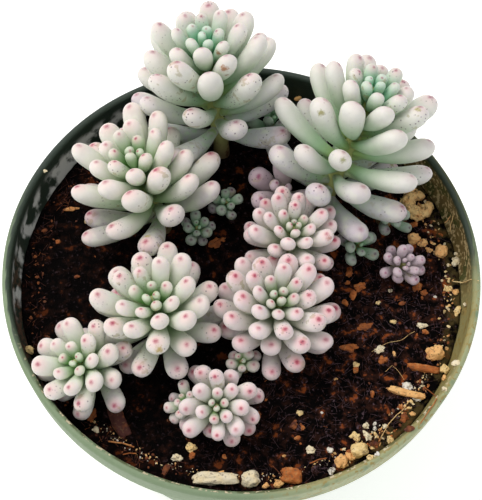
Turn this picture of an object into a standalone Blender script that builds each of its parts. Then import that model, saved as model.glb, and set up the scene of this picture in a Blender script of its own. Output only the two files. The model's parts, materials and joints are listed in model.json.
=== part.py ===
"""A potted graptopetalum, in metres, +Z up, its origin at the middle of the pot's base.

A plastic nursery pot, 152 mm across its lip, holds peat with stones and bark on it. The leafy
shoots stand in holes in the peat. Each shoot grew as one piece and is one solid: a fleshy stem
with club-shaped leaves set round it in a golden-angle spiral, youngest at the tip.
"""

import math
from dataclasses import dataclass

import bmesh
import bpy
import numpy as np
from mathutils import Matrix, Vector, noise

# The pot
LIP_RADIUS = 0.0760
LIP_INNER = 0.0734
RIM_Z = 0.1080
COLLAR_HEIGHT = 0.0115
COLLAR_STEP = 0.0016
COLLAR_DRAFT = 0.0005
COLLAR_CHAMFER = 0.0006
BEAD_POINTS = 5
WALL_TOP_RADIUS = 0.0736
BASE_RADIUS = 0.0540
WALL = 0.0013
FLOOR = 0.0016
FOOT_WIDTH = 0.0030
CHANNEL_RISE = 0.0025
CHANNEL_IN = 0.0392
CHANNEL_SLOPE = 0.0016
CHANNEL_DRAFT = 0.0008
DRAIN_HOLES = 6
DRAIN_RADIUS = 0.0040
DRAIN_SIDES = 8
DRAIN_CUT = 0.020
POT_STEPS = 48

# The peat
SOIL_TOP = 0.0950
GAP = 0.0003
RELIEF = 0.0009
GRAIN = 0.0085
SOIL_RINGS = 7
STEM_DEPTH = 0.0100
HOLE_SIDES = 6
HOLE_OVER = 0.006

# How a stem grows: it leaves the peat upright, thins toward the crown and ends in a bud
STEM_SAMPLES = 41
STEM_UPRIGHT = 0.35
STEM_LEANING = 0.45
STEM_TAPER = 0.38
BUD_SHARE = 0.16
BUD_NARROW = 0.4

# How leaves grow: ages run from 0 at the youngest leaf to 1 at the oldest
SEED = 20
GOLDEN_ANGLE = math.radians(137.508)
CROWDING = 1.15
YOUNG_PITCH = 10
PITCH_CURVE = 0.75
YOUNG_LENGTH = 0.30
LENGTH_CURVE = 0.9
LENGTH_GROWN = 0.45
YOUNG_WIDTH = 0.42
WIDTH_GROWN = 0.42
WITHER_AGE = 0.8
WITHER_SHARE = 0.12
ROOT_SHARE = 0.35
YOUNG_BEND = 0.12
OLD_BEND = 0.42
BEND_CURVE = 0.5
FACE_LEAN = 0.25
THIN_LEAF = 0.80
THICK_LEAF = 0.88
AROUND_SPREAD = 0.07
PITCH_SPREAD = 4
LENGTH_SPREAD = 0.05
WIDTH_SPREAD = 0.04

# A leaf's outline: how narrow it starts, and where along it is widest
BASE_SHARE = 0.40
WIDEST = 0.70
TIP_SHIFT = 0.6
YOUNGEST_LEFT_OUT = 1 / 8

# Sides and rings of the leaves down to each length, and how finely a stem is drawn
LEAF_DETAIL = [(0.0220, 6, 3), (0.0085, 5, 3), (0.0, 4, 3)]
TALL_CROWN = 0.010
TALL_STEM_STEP = 8
LOW_STEM_STEP = 20
THICK_STEM = 0.0027

# How far leaves keep from one another and from the rest, and how they are brought there
STATIONS = np.array([0.30, 0.46, 0.62, 0.78, 0.90])
ROOTED = 0.40
LEAF_GAP = 0.00060
SAME_SHOOT_PRESS = 0.97
GROUND_GAP = 0.0019
WALL_GAP = 0.0006
REACH = 0.008
ROUNDS = 80
TURN_LIMIT = 0.20
TURN_SHARE = 0.6
RETURN_SHARE = 0.02


@dataclass
class Shoot:
    """One rooted shoot: where it stands, how it leans and what its leaves are like."""

    name: str
    foot: tuple      # x and y where the stem leaves the peat
    crown: tuple     # x, y and height over the peat of the growing tip
    tilt: float      # degrees off the vertical at the crown
    toward: float    # way of that tilt, degrees from +X
    leaves: int
    length: float    # of a full-grown leaf
    width: float     # of a full-grown leaf
    turn: float      # way of the youngest leaf, degrees from +X
    hand: int        # 1 or -1, which way the spiral winds
    leafy: float     # length of stem that carries leaves
    spread: float    # degrees between the stem and its oldest leaf
    stem: float      # stem radius at the foot

    def path(self):
        """Points along the stem, their tangents and their distance from the foot."""
        foot = np.array([*self.foot, SOIL_TOP])
        crown = np.array([self.crown[0], self.crown[1], SOIL_TOP + self.crown[2]])
        tilt, toward = math.radians(self.tilt), math.radians(self.toward)
        axis = np.array([math.sin(tilt) * math.cos(toward), math.sin(tilt) * math.sin(toward),
                         math.cos(tilt)])
        rise = np.linalg.norm(crown - foot)
        low = foot + [0, 0, STEM_UPRIGHT * rise]
        high = crown - axis * STEM_LEANING * rise
        t = np.linspace(0, 1, STEM_SAMPLES)[:, None]
        points = ((1 - t)**3 * foot + 3 * (1 - t)**2 * t * low
                  + 3 * (1 - t) * t**2 * high + t**3 * crown)
        tangents = np.gradient(points, axis=0)
        tangents /= np.linalg.norm(tangents, axis=1)[:, None]
        steps = np.linalg.norm(np.diff(points, axis=0), axis=1)
        return points, tangents, np.concatenate([[0], np.cumsum(steps)])

    def radius(self, share):
        """Stem radius at a share of its height, thinner toward the crown."""
        return self.stem * (1 - STEM_TAPER * share)


@dataclass
class Lump:
    """A loose stone or piece of bark that lies in a dimple of the peat."""

    name: str
    place: tuple     # x and y of its middle
    size: tuple      # length, width and height
    turn: float      # degrees of its length from +X
    material: str
    sunk: float = 0.30
    detail: int = 1


SHOOTS = [
    Shoot("shoot_back_left", (-0.0085, 0.0485), (-0.0140, 0.0600, 0.042), 8, 100,
          44, 0.0265, 0.0080, 206, -1, 0.034, 100, 0.0028),
    Shoot("shoot_back_right", (0.0265, 0.0275), (0.0385, 0.0440, 0.043), 16, 50,
          45, 0.0258, 0.0082, 147, 1, 0.040, 106, 0.0030),
    Shoot("shoot_left", (-0.0265, 0.0185), (-0.0345, 0.0260, 0.026), 8, 150,
          39, 0.0248, 0.0077, 355, 1, 0.022, 103, 0.0026),
    Shoot("shoot_front_left", (-0.0240, -0.0200), (-0.0262, -0.0195, 0.023), 8, 170,
          37, 0.0202, 0.0069, 6, -1, 0.019, 104, 0.0025),
    Shoot("shoot_centre", (0.0110, -0.0180), (0.0115, -0.0175, 0.022), 6, 334,
          41, 0.0198, 0.0065, 153, 1, 0.019, 100, 0.0025),
    Shoot("shoot_centre_back", (0.0160, 0.0090), (0.0155, 0.0075, 0.021), 3, 320,
          32, 0.0170, 0.0053, 104, -1, 0.015, 94, 0.0022),
    Shoot("shoot_far_left", (-0.0430, -0.0340), (-0.0485, -0.0370, 0.015), 16, 200,
          27, 0.0155, 0.0062, 250, 1, 0.011, 100, 0.0021),
    Shoot("shoot_front", (-0.0040, -0.0420), (-0.0060, -0.0480, 0.012), 12, 252,
          25, 0.0138, 0.0053, 298, -1, 0.010, 100, 0.0021),
    Shoot("shoot_front_offset", (-0.015, -0.042), (-0.016, -0.046, 0.008), 20, 180,
          10, 0.0065, 0.0036, 0, 1, 0.005, 90, 0.0014),
    Shoot("bud_left", (-0.016, 0.016), (-0.015, 0.015, 0.007), 8, 270,
          11, 0.0062, 0.0036, 0, 1, 0.004, 85, 0.0014),
    Shoot("bud_middle", (-0.007, 0.026), (-0.006, 0.025, 0.007), 10, 300,
          10, 0.0060, 0.0035, 50, 1, 0.004, 88, 0.0014),
    Shoot("bud_front", (0.002, -0.031), (0.001, -0.031, 0.007), 15, 280,
          10, 0.0065, 0.0038, 0, 1, 0.005, 90, 0.0014),
    Shoot("shoot_right_violet", (0.050, 0.006), (0.052, 0.004, 0.008), 15, 320,
          16, 0.0080, 0.0036, 0, 1, 0.006, 90, 0.0015),
    Shoot("shoot_right_green", (0.036, 0.013), (0.038, 0.011, 0.007), 10, 320,
          10, 0.0080, 0.0040, 0, 1, 0.006, 85, 0.0015),
    Shoot("shoot_right_low", (0.046, 0.024), (0.049, 0.022, 0.007), 10, 320,
          9, 0.0080, 0.0040, 0, 1, 0.006, 85, 0.0015),
    Shoot("shoot_between", (0.010, 0.057), (0.008, 0.057, 0.008), 10, 60,
          8, 0.0090, 0.0046, 0, 1, 0.005, 85, 0.0015),
    Shoot("shoot_middle_low", (0.012, 0.032), (0.013, 0.029, 0.009), 15, 150,
          8, 0.0140, 0.0070, 30, 1, 0.005, 80, 0.0018),
]

LUMPS = [
    Lump("pumice_tan_right", (0.0625, -0.0235), (0.0055, 0.0045, 0.0040), 20, "pumice"),
    Lump("pumice_right", (0.0660, 0.0130), (0.0045, 0.0038, 0.0034), 70, "pumice"),
    Lump("pumice_front_right", (0.0380, -0.0560), (0.0052, 0.0044, 0.0040), 10, "pumice"),
    Lump("pumice_front", (0.0325, -0.0600), (0.0042, 0.0036, 0.0034), 80, "pumice"),
    Lump("pumice_by_shoots", (0.0570, 0.0175), (0.0038, 0.0034, 0.0030), 30, "pumice"),
    Lump("perlite_block", (0.0050, -0.0665), (0.0055, 0.0050, 0.0040), 15, "perlite"),
    Lump("bark_strip", (-0.0055, -0.0668), (0.0130, 0.0036, 0.0030), 3, "bark"),
    Lump("bark_chip", (0.0175, -0.0650), (0.0060, 0.0042, 0.0032), 350, "bark"),
    Lump("bark_stick_upper", (0.0590, -0.0285), (0.0100, 0.0024, 0.0022), 352, "bark"),
    Lump("bark_stick_lower", (0.0530, -0.0370), (0.0110, 0.0022, 0.0020), 347, "bark"),
    Lump("bark_flake_left", (-0.0360, -0.0500), (0.0100, 0.0042, 0.0022), 118, "bark"),
]

# How rough the stones are, and how far their dimples stand off them
LUMP_ROUGHNESS = 0.28
LUMP_GRAIN = 3.1
DIMPLE_GAP = 0.00036

# Heights over the peat of the balls that keep leaves off the stones
CURL_BALL_RISE = 0.0015
LUMP_BALL_RISE = 0.001

# The curled pumice stone: its middle, bend radius, thickness and the part turn that it makes
CURL_PLACE = (0.0585, 0.0300)
CURL_BEND = 0.0037
CURL_RADIUS = 0.0019
CURL_START = math.radians(75)
CURL_SWEEP = math.radians(265)
CURL_POINTS = 9
CURL_LIFT = 0.55
CURL_CLIMB = 0.0008
CURL_SWELL = 0.16
CURL_BEAT = 2.1
CURL_END = 0.72
CURL_GAP = 0.00042
CURL_OVERRUN = 0.2

COLOURS = {
    "plastic": ((0.200, 0.262, 0.205), 0.48),
    "peat": ((0.018, 0.012, 0.009), 0.95),
    "leaf": ((0.560, 0.640, 0.545), 0.55),
    "pumice": ((0.560, 0.370, 0.190), 0.90),
    "perlite": ((0.720, 0.690, 0.620), 0.90),
    "bark": ((0.330, 0.150, 0.060), 0.85),
}


def profile(t):
    """Share of a leaf's half width at the share t of its length: narrow foot, round tip."""
    t = np.asarray(t, float)
    rise = BASE_SHARE + (1 - BASE_SHARE) * np.sin(np.clip(t / WIDEST, 0, 1) * math.pi / 2)**1.5
    fall = np.sqrt(1 - np.clip((t - WIDEST) / (1 - WIDEST), 0, 1)**2.2)
    return np.where(t < WIDEST, rise, fall)


def unit(rows):
    """Rows of vectors brought to length one."""
    return rows / (np.linalg.norm(rows, axis=-1, keepdims=True) + 1e-12)


class Planting:
    """Where every leaf of every shoot stands, bent clear of its neighbours."""

    def __init__(self, shoots, obstacles):
        self.shoots = shoots
        self.obstacles = np.array(obstacles)
        rng = np.random.default_rng(SEED)
        rows = [row for k, shoot in enumerate(shoots) for row in self.spiral(k, shoot, rng)]
        (self.owner, self.age, self.base, self.aim, self.axis, self.outward,
         self.length, self.width, self.lot) = (np.array(column) for column in zip(*rows))
        self.bend = YOUNG_BEND + (OLD_BEND - YOUNG_BEND) * self.age**BEND_CURVE
        self.first_aim = self.aim.copy()
        self.relax()

    @staticmethod
    def spiral(index, shoot, rng):
        """Leaves of one shoot, youngest first, along its golden-angle spiral."""
        points, tangents, arc = shoot.path()
        for i in range(shoot.leaves):
            age = i / (shoot.leaves - 1)
            down = shoot.leafy * age**CROWDING
            at = max(arc[-1] - down, 0)
            root = np.array([np.interp(at, arc, points[:, c]) for c in range(3)])
            axis = unit(np.array([np.interp(at, arc, tangents[:, c]) for c in range(3)]))
            east = unit(np.array([1.0, 0, 0]) - axis[0] * axis)
            north = np.cross(axis, east)
            around = math.radians(shoot.turn) + shoot.hand * i * GOLDEN_ANGLE
            around += rng.normal(0, AROUND_SPREAD)
            outward = math.cos(around) * east + math.sin(around) * north
            pitch = YOUNG_PITCH + (shoot.spread - YOUNG_PITCH) * age**PITCH_CURVE
            pitch = math.radians(pitch + rng.normal(0, PITCH_SPREAD))
            grown = min(1.0, age / LENGTH_GROWN)**LENGTH_CURVE
            length = shoot.length * (YOUNG_LENGTH + (1 - YOUNG_LENGTH) * grown)
            length *= 1 - WITHER_SHARE * max(0, age - WITHER_AGE) / (1 - WITHER_AGE)
            length *= 1 + rng.normal(0, LENGTH_SPREAD)
            broad = min(1.0, age / WIDTH_GROWN)
            width = shoot.width * (YOUNG_WIDTH + (1 - YOUNG_WIDTH) * broad)
            width *= 1 + rng.normal(0, WIDTH_SPREAD)
            aim = math.cos(pitch) * axis + math.sin(pitch) * outward
            base = root + outward * shoot.radius(1 - down / shoot.leafy) * ROOT_SHARE
            yield index, age, base, aim, axis, outward, length, width, rng.random()

    def upper(self):
        """The way that each leaf's upper face looks."""
        def square(rows):
            return rows - (rows * self.aim).sum(1)[:, None] * self.aim
        return unit(square(self.axis) - FACE_LEAN * square(self.outward))

    def centres(self, shares):
        """Points on each leaf's middle line, which curves up toward its tip."""
        t = np.asarray(shares)[None, :, None]
        length = self.length[:, None, None]
        rise = self.bend[:, None, None] * t**2 * self.upper()[:, None, :]
        return self.base[:, None, :] + length * (t * self.aim[:, None, :] + rise)

    def leaf_pushes(self, spots, half, push):
        """Pushes leaves apart: clear of other shoots, and only lightly pressed within one."""
        same = self.owner[self.left] == self.owner[self.right]
        away = spots[self.left][:, :, None] - spots[self.right][:, None]
        apart = np.linalg.norm(away, axis=3) + 1e-12
        both = half[self.left][:, :, None] + half[self.right][:, None]
        need = np.where(same[:, None, None], SAME_SHOOT_PRESS * both, both + LEAF_GAP)
        rooted = (STATIONS[None, :, None] < ROOTED) | (STATIONS[None, None, :] < ROOTED)
        close = (need > apart) & ~(same[:, None, None] & rooted)
        over = np.where(close, need - apart, 0)
        move = away / apart[..., None] * over[..., None] * 0.5
        np.add.at(push, (self.left,), move.sum(2))
        np.add.at(push, (self.right,), -move.sum(1))

    def ball_pushes(self, spots, half, push):
        """Pushes leaves off the other shoots' stems and off the stones."""
        away = spots[:, :, None] - self.balls[None, None]
        apart = np.linalg.norm(away, axis=3) + 1e-12
        need = half[:, :, None] + self.ball_radii[None, None] + LEAF_GAP
        other = self.owner[:, None, None] != self.ball_owner[None, None]
        over = np.where(other & (need > apart), need - apart, 0)
        push += (away / apart[..., None] * over[..., None]).sum(2)

    @staticmethod
    def pot_pushes(spots, half, push):
        """Lifts leaves off the peat, and off or inside the pot's lip."""
        push[..., 2] += np.clip(SOIL_TOP + GROUND_GAP - (spots[..., 2] - half), 0, None)
        out = np.hypot(spots[..., 0], spots[..., 1])
        inside = LIP_INNER - WALL_GAP - half - out
        above = (spots[..., 2] - half) - (RIM_Z + WALL_GAP)
        caught = (inside < 0) & (above < 0)
        lift = caught & (-above < -inside)
        push[..., 2] += np.where(lift, -above, 0)
        radial = spots[..., :2] / (out[..., None] + 1e-12)
        push[..., :2] += np.where((caught & ~lift)[..., None], radial * inside[..., None], 0)

    def relax(self):
        """Turns each leaf about its root, a little each round, until none crosses a neighbour."""
        reach = np.linalg.norm(self.base[:, None] - self.base[None], axis=2)
        near = reach < self.length[:, None] + self.length[None] + REACH
        self.left, self.right = np.where(np.triu(near, 1))
        stems = [(point, shoot.radius(q / (STEM_SAMPLES - 1)), k)
                 for k, shoot in enumerate(self.shoots)
                 for q, point in enumerate(shoot.path()[0]) if q % 4 == 0]
        stones = [(ball[:3], ball[3], -1) for ball in self.obstacles]
        self.balls, self.ball_radii, self.ball_owner = (
            np.array(column) for column in zip(*(stems + stones)))
        half = self.width[:, None] / 2 * profile(STATIONS)[None]
        lever = STATIONS[None, :] * self.length[:, None]
        for _ in range(ROUNDS):
            spots = self.centres(STATIONS)
            push = np.zeros_like(spots)
            self.leaf_pushes(spots, half, push)
            self.ball_pushes(spots, half, push)
            self.pot_pushes(spots, half, push)
            turn = (push / lever[..., None]).sum(1)
            turn -= (turn * self.aim).sum(1)[:, None] * self.aim
            size = np.linalg.norm(turn, axis=1, keepdims=True) + 1e-12
            turn *= np.minimum(1, TURN_LIMIT / size)
            back = RETURN_SHARE * (self.first_aim - self.aim)
            self.aim = unit(self.aim + TURN_SHARE * turn + back)


def clear_scene():
    """Empties the scene of whatever it opened with."""
    for thing in list(bpy.data.objects):
        bpy.data.objects.remove(thing, do_unlink=True)


def material(name):
    """The plain finish of one stuff."""
    colour, roughness = COLOURS[name]
    made = bpy.data.materials.new(name)
    made.use_nodes = True
    shader = made.node_tree.nodes["Principled BSDF"]
    shader.inputs["Base Color"].default_value = (*colour, 1)
    shader.inputs["Roughness"].default_value = roughness
    shader.inputs["Metallic"].default_value = 0.0
    made.diffuse_color = (*colour, 1)
    return made


def collection(name):
    """A new collection in the scene."""
    made = bpy.data.collections.new(name)
    bpy.context.scene.collection.children.link(made)
    return made


def add_object(name, data, home):
    """An object with its data, in a collection."""
    thing = bpy.data.objects.new(name, data)
    home.objects.link(thing)
    return thing


def mesh_of(bm, name):
    """A mesh made from, and closing, an edit mesh."""
    mesh = bpy.data.meshes.new(name)
    bm.to_mesh(mesh)
    bm.free()
    return mesh


def baked(thing):
    """The object's evaluated shape as a mesh of its own."""
    graph = bpy.context.evaluated_depsgraph_get()
    graph.update()
    return bpy.data.meshes.new_from_object(thing.evaluated_get(graph))


def hide_cutter(thing):
    """Marks an object as one that only cuts."""
    thing.hide_render = True
    thing.display_type = "WIRE"
    return thing


def turned(name, points, home, steps):
    """A turned solid: a half outline of (radius, height) points swept round the Z axis."""
    bm = bmesh.new()
    verts = [bm.verts.new((radius, 0, height)) for radius, height in points]
    for first, second in zip(verts, verts[1:]):
        bm.edges.new((first, second))
    thing = add_object(name, mesh_of(bm, name), home)
    screw = thing.modifiers.new("turn", "SCREW")
    screw.angle = math.tau
    screw.steps = screw.render_steps = steps
    screw.use_merge_vertices = True
    screw.merge_threshold = 0.00001
    return thing


def wall_radius(height):
    """Outer radius of the pot's plain wall at a height."""
    return BASE_RADIUS + (WALL_TOP_RADIUS - BASE_RADIUS) * height / (RIM_Z - COLLAR_HEIGHT)


def bead_arc():
    """The rolled lip's half circle, from its inner side over its top to its outer side."""
    middle, radius = (LIP_INNER + LIP_RADIUS) / 2, (LIP_RADIUS - LIP_INNER) / 2
    for k in range(BEAD_POINTS):
        way = math.pi * (1 - k / (BEAD_POINTS - 1))
        yield middle + radius * math.cos(way), RIM_Z - radius + radius * math.sin(way)


def pot_outline():
    """Half outline of the pot: over the floor, up the inside, over the lip and down."""
    step_z = RIM_Z - COLLAR_HEIGHT
    ledge_z = step_z - COLLAR_STEP
    channel_out = BASE_RADIUS - FOOT_WIDTH
    lift = CHANNEL_RISE + FLOOR
    return [
        (0, FLOOR),
        (CHANNEL_IN - CHANNEL_SLOPE, FLOOR),
        (CHANNEL_IN, lift),
        (wall_radius(lift) - WALL, lift),
        (wall_radius(ledge_z) - WALL, ledge_z),
        (LIP_INNER, step_z + COLLAR_STEP),
        *bead_arc(),
        (LIP_RADIUS - COLLAR_DRAFT, step_z + COLLAR_CHAMFER),
        (wall_radius(step_z), step_z),
        (BASE_RADIUS, 0),
        (channel_out, 0),
        (channel_out - CHANNEL_DRAFT, CHANNEL_RISE),
        (CHANNEL_IN + CHANNEL_DRAFT, CHANNEL_RISE),
        (CHANNEL_IN - CHANNEL_DRAFT, 0),
        (0, 0),
    ]


def make_pot(home, cutters, plastic):
    """The nursery pot, turned, with a ring of drain holes in its floor's channel."""
    pot = turned("pot", pot_outline(), home, POT_STEPS)
    middle = (BASE_RADIUS - FOOT_WIDTH + CHANNEL_IN) / 2
    for k in range(DRAIN_HOLES):
        bm = bmesh.new()
        bmesh.ops.create_cone(bm, cap_ends=True, segments=DRAIN_SIDES, radius1=DRAIN_RADIUS,
                              radius2=DRAIN_RADIUS, depth=DRAIN_CUT)
        hole = hide_cutter(add_object(f"drain_hole_{k + 1}", mesh_of(bm, "drain_hole"), cutters))
        way = math.tau * (k + 0.5) / DRAIN_HOLES
        hole.location = (middle * math.cos(way), middle * math.sin(way), CHANNEL_RISE)
    cut = pot.modifiers.new("drain", "BOOLEAN")
    cut.operation = "DIFFERENCE"
    cut.operand_type = "COLLECTION"
    cut.collection = cutters
    cut.solver = "EXACT"
    pot.data.materials.append(plastic)
    return pot


def soil_height(x, y):
    """Height of the crumbly peat at a place."""
    spot = Vector((x, y, 0)) / GRAIN
    return SOIL_TOP + RELIEF * (noise.noise(spot) + 0.5 * noise.noise(spot * 2.3))


def make_soil(home, cutters, peat):
    """The peat: it fills the pot to its floor, and its top is raised and sunk by noise."""
    low = CHANNEL_RISE + FLOOR + GAP
    brim = wall_radius(SOIL_TOP) - WALL - GAP
    outline = [(brim * k / SOIL_RINGS, SOIL_TOP) for k in range(SOIL_RINGS + 1)]
    outline += [(wall_radius(low) - WALL - GAP, low), (CHANNEL_IN - GAP, low),
                (CHANNEL_IN - CHANNEL_SLOPE - GAP, FLOOR + GAP), (0, FLOOR + GAP)]
    blank = turned("soil_blank", outline, home, POT_STEPS)
    mesh = baked(blank)
    bpy.data.objects.remove(blank)
    for vertex in mesh.vertices:
        if vertex.co.z > SOIL_TOP - GAP:
            vertex.co.z = soil_height(vertex.co.x, vertex.co.y)
    soil = add_object("soil", mesh, home)
    cut = soil.modifiers.new("holes", "BOOLEAN")
    cut.operation = "DIFFERENCE"
    cut.operand_type = "COLLECTION"
    cut.collection = cutters
    cut.solver = "EXACT"
    mesh.materials.append(peat)
    return soil


def stem_hole(shoot, cutters):
    """Cuts the plain round hole that a stem stands in."""
    deep = STEM_DEPTH + GAP
    tall = deep + HOLE_OVER
    radius = (shoot.stem + GAP) / math.cos(math.pi / HOLE_SIDES)
    bm = bmesh.new()
    bmesh.ops.create_cone(bm, cap_ends=True, segments=HOLE_SIDES, radius1=radius,
                          radius2=radius, depth=tall)
    hole = hide_cutter(add_object(shoot.name + "_hole", mesh_of(bm, "hole"), cutters))
    hole.location = (*shoot.foot, SOIL_TOP - deep + tall / 2)


def lump_mesh(lump, grow):
    """A rough lump, or the same grown by a gap for the dimple that it lies in."""
    bm = bmesh.new()
    bmesh.ops.create_icosphere(bm, subdivisions=lump.detail, radius=0.5)
    size = Vector(lump.size)
    seed = Vector(lump.place) * 1000
    for vertex in bm.verts:
        spot = vertex.co * LUMP_GRAIN + Vector((seed.x, seed.y, 0))
        rough = 1 + LUMP_ROUGHNESS * noise.noise(spot)
        way = vertex.co.normalized()
        shaped = Vector(c * s for c, s in zip(vertex.co * rough, size))
        vertex.co = shaped + way * grow
    return mesh_of(bm, lump.name)


def make_lump(lump, home, cutters, finish):
    """A stone or a piece of bark, and the dimple under it."""
    x, y = lump.place
    height = soil_height(x, y) + lump.size[2] * (0.5 - lump.sunk)
    place = Matrix.Translation((x, y, height)) @ Matrix.Rotation(math.radians(lump.turn), 4, "Z")
    thing = add_object(lump.name, lump_mesh(lump, 0), home)
    thing.matrix_world = place
    thing.data.materials.append(finish)
    dimple = hide_cutter(add_object(lump.name + "_dimple", lump_mesh(lump, DIMPLE_GAP), cutters))
    dimple.matrix_world = place


def tube(name, points, radii, depth, resolution, home):
    """A tube through points with its own radius at each, closed and made a mesh."""
    curve = bpy.data.curves.new(name, "CURVE")
    curve.dimensions = "3D"
    curve.bevel_depth = depth
    curve.bevel_resolution = resolution
    curve.use_fill_caps = True
    spline = curve.splines.new("POLY")
    spline.points.add(len(points) - 1)
    for spot, place, radius in zip(spline.points, points, radii):
        spot.co = (*place, 1)
        spot.radius = radius / depth
    bent = add_object(name, curve, home)
    mesh = baked(bent)
    bpy.data.objects.remove(bent)
    bm = bmesh.new()
    bm.from_mesh(mesh)
    bmesh.ops.remove_doubles(bm, verts=bm.verts, dist=0.000001)
    bm.normal_update()
    bmesh.ops.recalc_face_normals(bm, faces=bm.faces)
    bm.to_mesh(mesh)
    bm.free()
    return mesh


def curl_points():
    """The curled stone's middle line, a little higher at one end than at the other."""
    height = soil_height(*CURL_PLACE) + CURL_RADIUS * CURL_LIFT
    for k in range(CURL_POINTS):
        share = k / (CURL_POINTS - 1)
        way = CURL_START + CURL_SWEEP * share
        yield (CURL_PLACE[0] + CURL_BEND * math.cos(way),
               CURL_PLACE[1] + CURL_BEND * math.sin(way), height + CURL_CLIMB * share)


def make_curl(home, cutters, finish):
    """The curled pumice stone, knobbly along its length, and its dimple."""
    points = list(curl_points())
    swell = [1 + CURL_SWELL * math.cos(CURL_BEAT * k) for k in range(CURL_POINTS)]
    swell[0] = swell[-1] = CURL_END
    radii = [CURL_RADIUS * s for s in swell]
    mesh = tube("pumice_curl", points, radii, CURL_RADIUS, 1, home)
    thing = add_object("pumice_curl", mesh, home)
    mesh.materials.append(finish)
    wider = [radius + CURL_GAP for radius in radii]
    ends = [2 * np.array(points[0]) - points[1], 2 * np.array(points[-1]) - points[-2]]
    first = np.array(points[0]) + CURL_OVERRUN * (ends[0] - points[0])
    last = np.array(points[-1]) + CURL_OVERRUN * (ends[1] - points[-1])
    longer = [tuple(first)] + points + [tuple(last)]
    wider = [wider[0]] + wider + [wider[-1]]
    dimple = tube("pumice_curl_dimple", longer, wider, CURL_RADIUS, 1, cutters)
    hide_cutter(add_object("pumice_curl_dimple", dimple, cutters))
    return thing


def leaf_mesh(plan, i, sides, rings):
    """One leaf: a sphere drawn out along the leaf's curved middle line."""
    bm = bmesh.new()
    bmesh.ops.create_uvsphere(bm, u_segments=sides, v_segments=rings, radius=1)
    aim, upper = plan.aim[i], plan.upper_faces[i]
    side = np.cross(aim, upper)
    half = plan.width[i] / 2
    thick = half * (THIN_LEAF + (THICK_LEAF - THIN_LEAF) * plan.lot[i])
    for vertex in bm.verts:
        t = ((vertex.co.z + 1) / 2)**TIP_SHIFT
        round_part = math.hypot(vertex.co.x, vertex.co.y)
        across = vertex.co.x / round_part if round_part > 0.01 else 0
        over = vertex.co.y / round_part if round_part > 0.01 else 0
        middle = plan.base[i] + plan.length[i] * (t * aim + plan.bend[i] * t**2 * upper)
        tangent = unit(aim + 2 * plan.bend[i] * t * upper)
        crown = np.cross(tangent, side)
        swell = float(profile(t))
        vertex.co = Vector(middle + swell * (half * across * side - thick * over * crown))
    bm.normal_update()
    bmesh.ops.recalc_face_normals(bm, faces=bm.faces)
    return mesh_of(bm, "leaf")


def leaf_detail(length):
    """Sides and rings of a leaf, fewer on the small ones."""
    return next((sides, rings) for least, sides, rings in LEAF_DETAIL if length > least)


def keep_largest(mesh):
    """Drops loose scraps and sealed hollows that the union left."""
    bm = bmesh.new()
    bm.from_mesh(mesh)
    bm.faces.ensure_lookup_table()
    unseen = set(bm.faces)
    bodies = []
    while unseen:
        front = [unseen.pop()]
        body = set(front)
        while front:
            face = front.pop()
            for edge in face.edges:
                for other in edge.link_faces:
                    if other in unseen:
                        unseen.discard(other)
                        body.add(other)
                        front.append(other)
        bodies.append(body)
    largest = max(bodies, key=len)
    scrap = [face for body in bodies if body is not largest for face in body]
    bmesh.ops.delete(bm, geom=scrap, context="FACES")
    loose = [vertex for vertex in bm.verts if not vertex.link_faces]
    bmesh.ops.delete(bm, geom=loose, context="VERTS")
    bm.to_mesh(mesh)
    bm.free()


def make_shoot(plan, k, home, finish):
    """One shoot: its stem and all its leaves, fused."""
    shoot = plan.shoots[k]
    line = shoot.path()[0]
    tall = shoot.crown[2] > TALL_CROWN
    picks = range(0, STEM_SAMPLES, TALL_STEM_STEP if tall else LOW_STEM_STEP)
    foot = (*shoot.foot, SOIL_TOP - STEM_DEPTH)
    bud = line[-1] + unit(line[-1] - line[-2]) * shoot.length * BUD_SHARE
    points = [foot] + [tuple(line[q]) for q in picks] + [tuple(bud)]
    radii = [shoot.stem] + [shoot.radius(q / (STEM_SAMPLES - 1)) for q in picks]
    radii.append(shoot.stem * BUD_NARROW)
    sides = 2 if shoot.stem > THICK_STEM else 1
    stem = add_object(shoot.name, tube(shoot.name, points, radii, shoot.stem, sides, home), home)
    leaves = collection(shoot.name + "_leaves")
    youngest = int(shoot.leaves * YOUNGEST_LEFT_OUT)
    for i in np.where(plan.owner == k)[0][youngest:]:
        add_object("leaf", leaf_mesh(plan, i, *leaf_detail(plan.length[i])), leaves)
    join = stem.modifiers.new("leaves", "BOOLEAN")
    join.operation = "UNION"
    join.operand_type = "COLLECTION"
    join.collection = leaves
    join.solver = "MANIFOLD"
    whole = baked(stem)
    stem.modifiers.clear()
    stem.data = whole
    for leaf in list(leaves.objects):
        bpy.data.objects.remove(leaf)
    bpy.data.collections.remove(leaves)
    keep_largest(whole)
    whole.materials.clear()
    whole.materials.append(finish)
    return stem


def obstacles():
    """Balls round the stones, which leaves are bent clear of."""
    balls = [(*CURL_PLACE, SOIL_TOP + CURL_BALL_RISE, CURL_BEND + CURL_RADIUS + GAP)]
    balls += [(*lump.place, SOIL_TOP + LUMP_BALL_RISE, max(lump.size) / 2) for lump in LUMPS]
    return balls


def build():
    """Makes the whole potted plant."""
    clear_scene()
    parts = collection("potted_graptopetalum")
    drain_cutters = collection("drain_cutters")
    soil_cutters = collection("soil_cutters")
    finishes = {name: material(name) for name in COLOURS}
    make_pot(parts, drain_cutters, finishes["plastic"])
    make_curl(parts, soil_cutters, finishes["pumice"])
    for lump in LUMPS:
        make_lump(lump, parts, soil_cutters, finishes[lump.material])
    for shoot in SHOOTS:
        stem_hole(shoot, soil_cutters)
    make_soil(parts, soil_cutters, finishes["peat"])
    plan = Planting(SHOOTS, obstacles())
    plan.upper_faces = plan.upper()
    for k in range(len(SHOOTS)):
        make_shoot(plan, k, parts, finishes["leaf"])


build()
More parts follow.
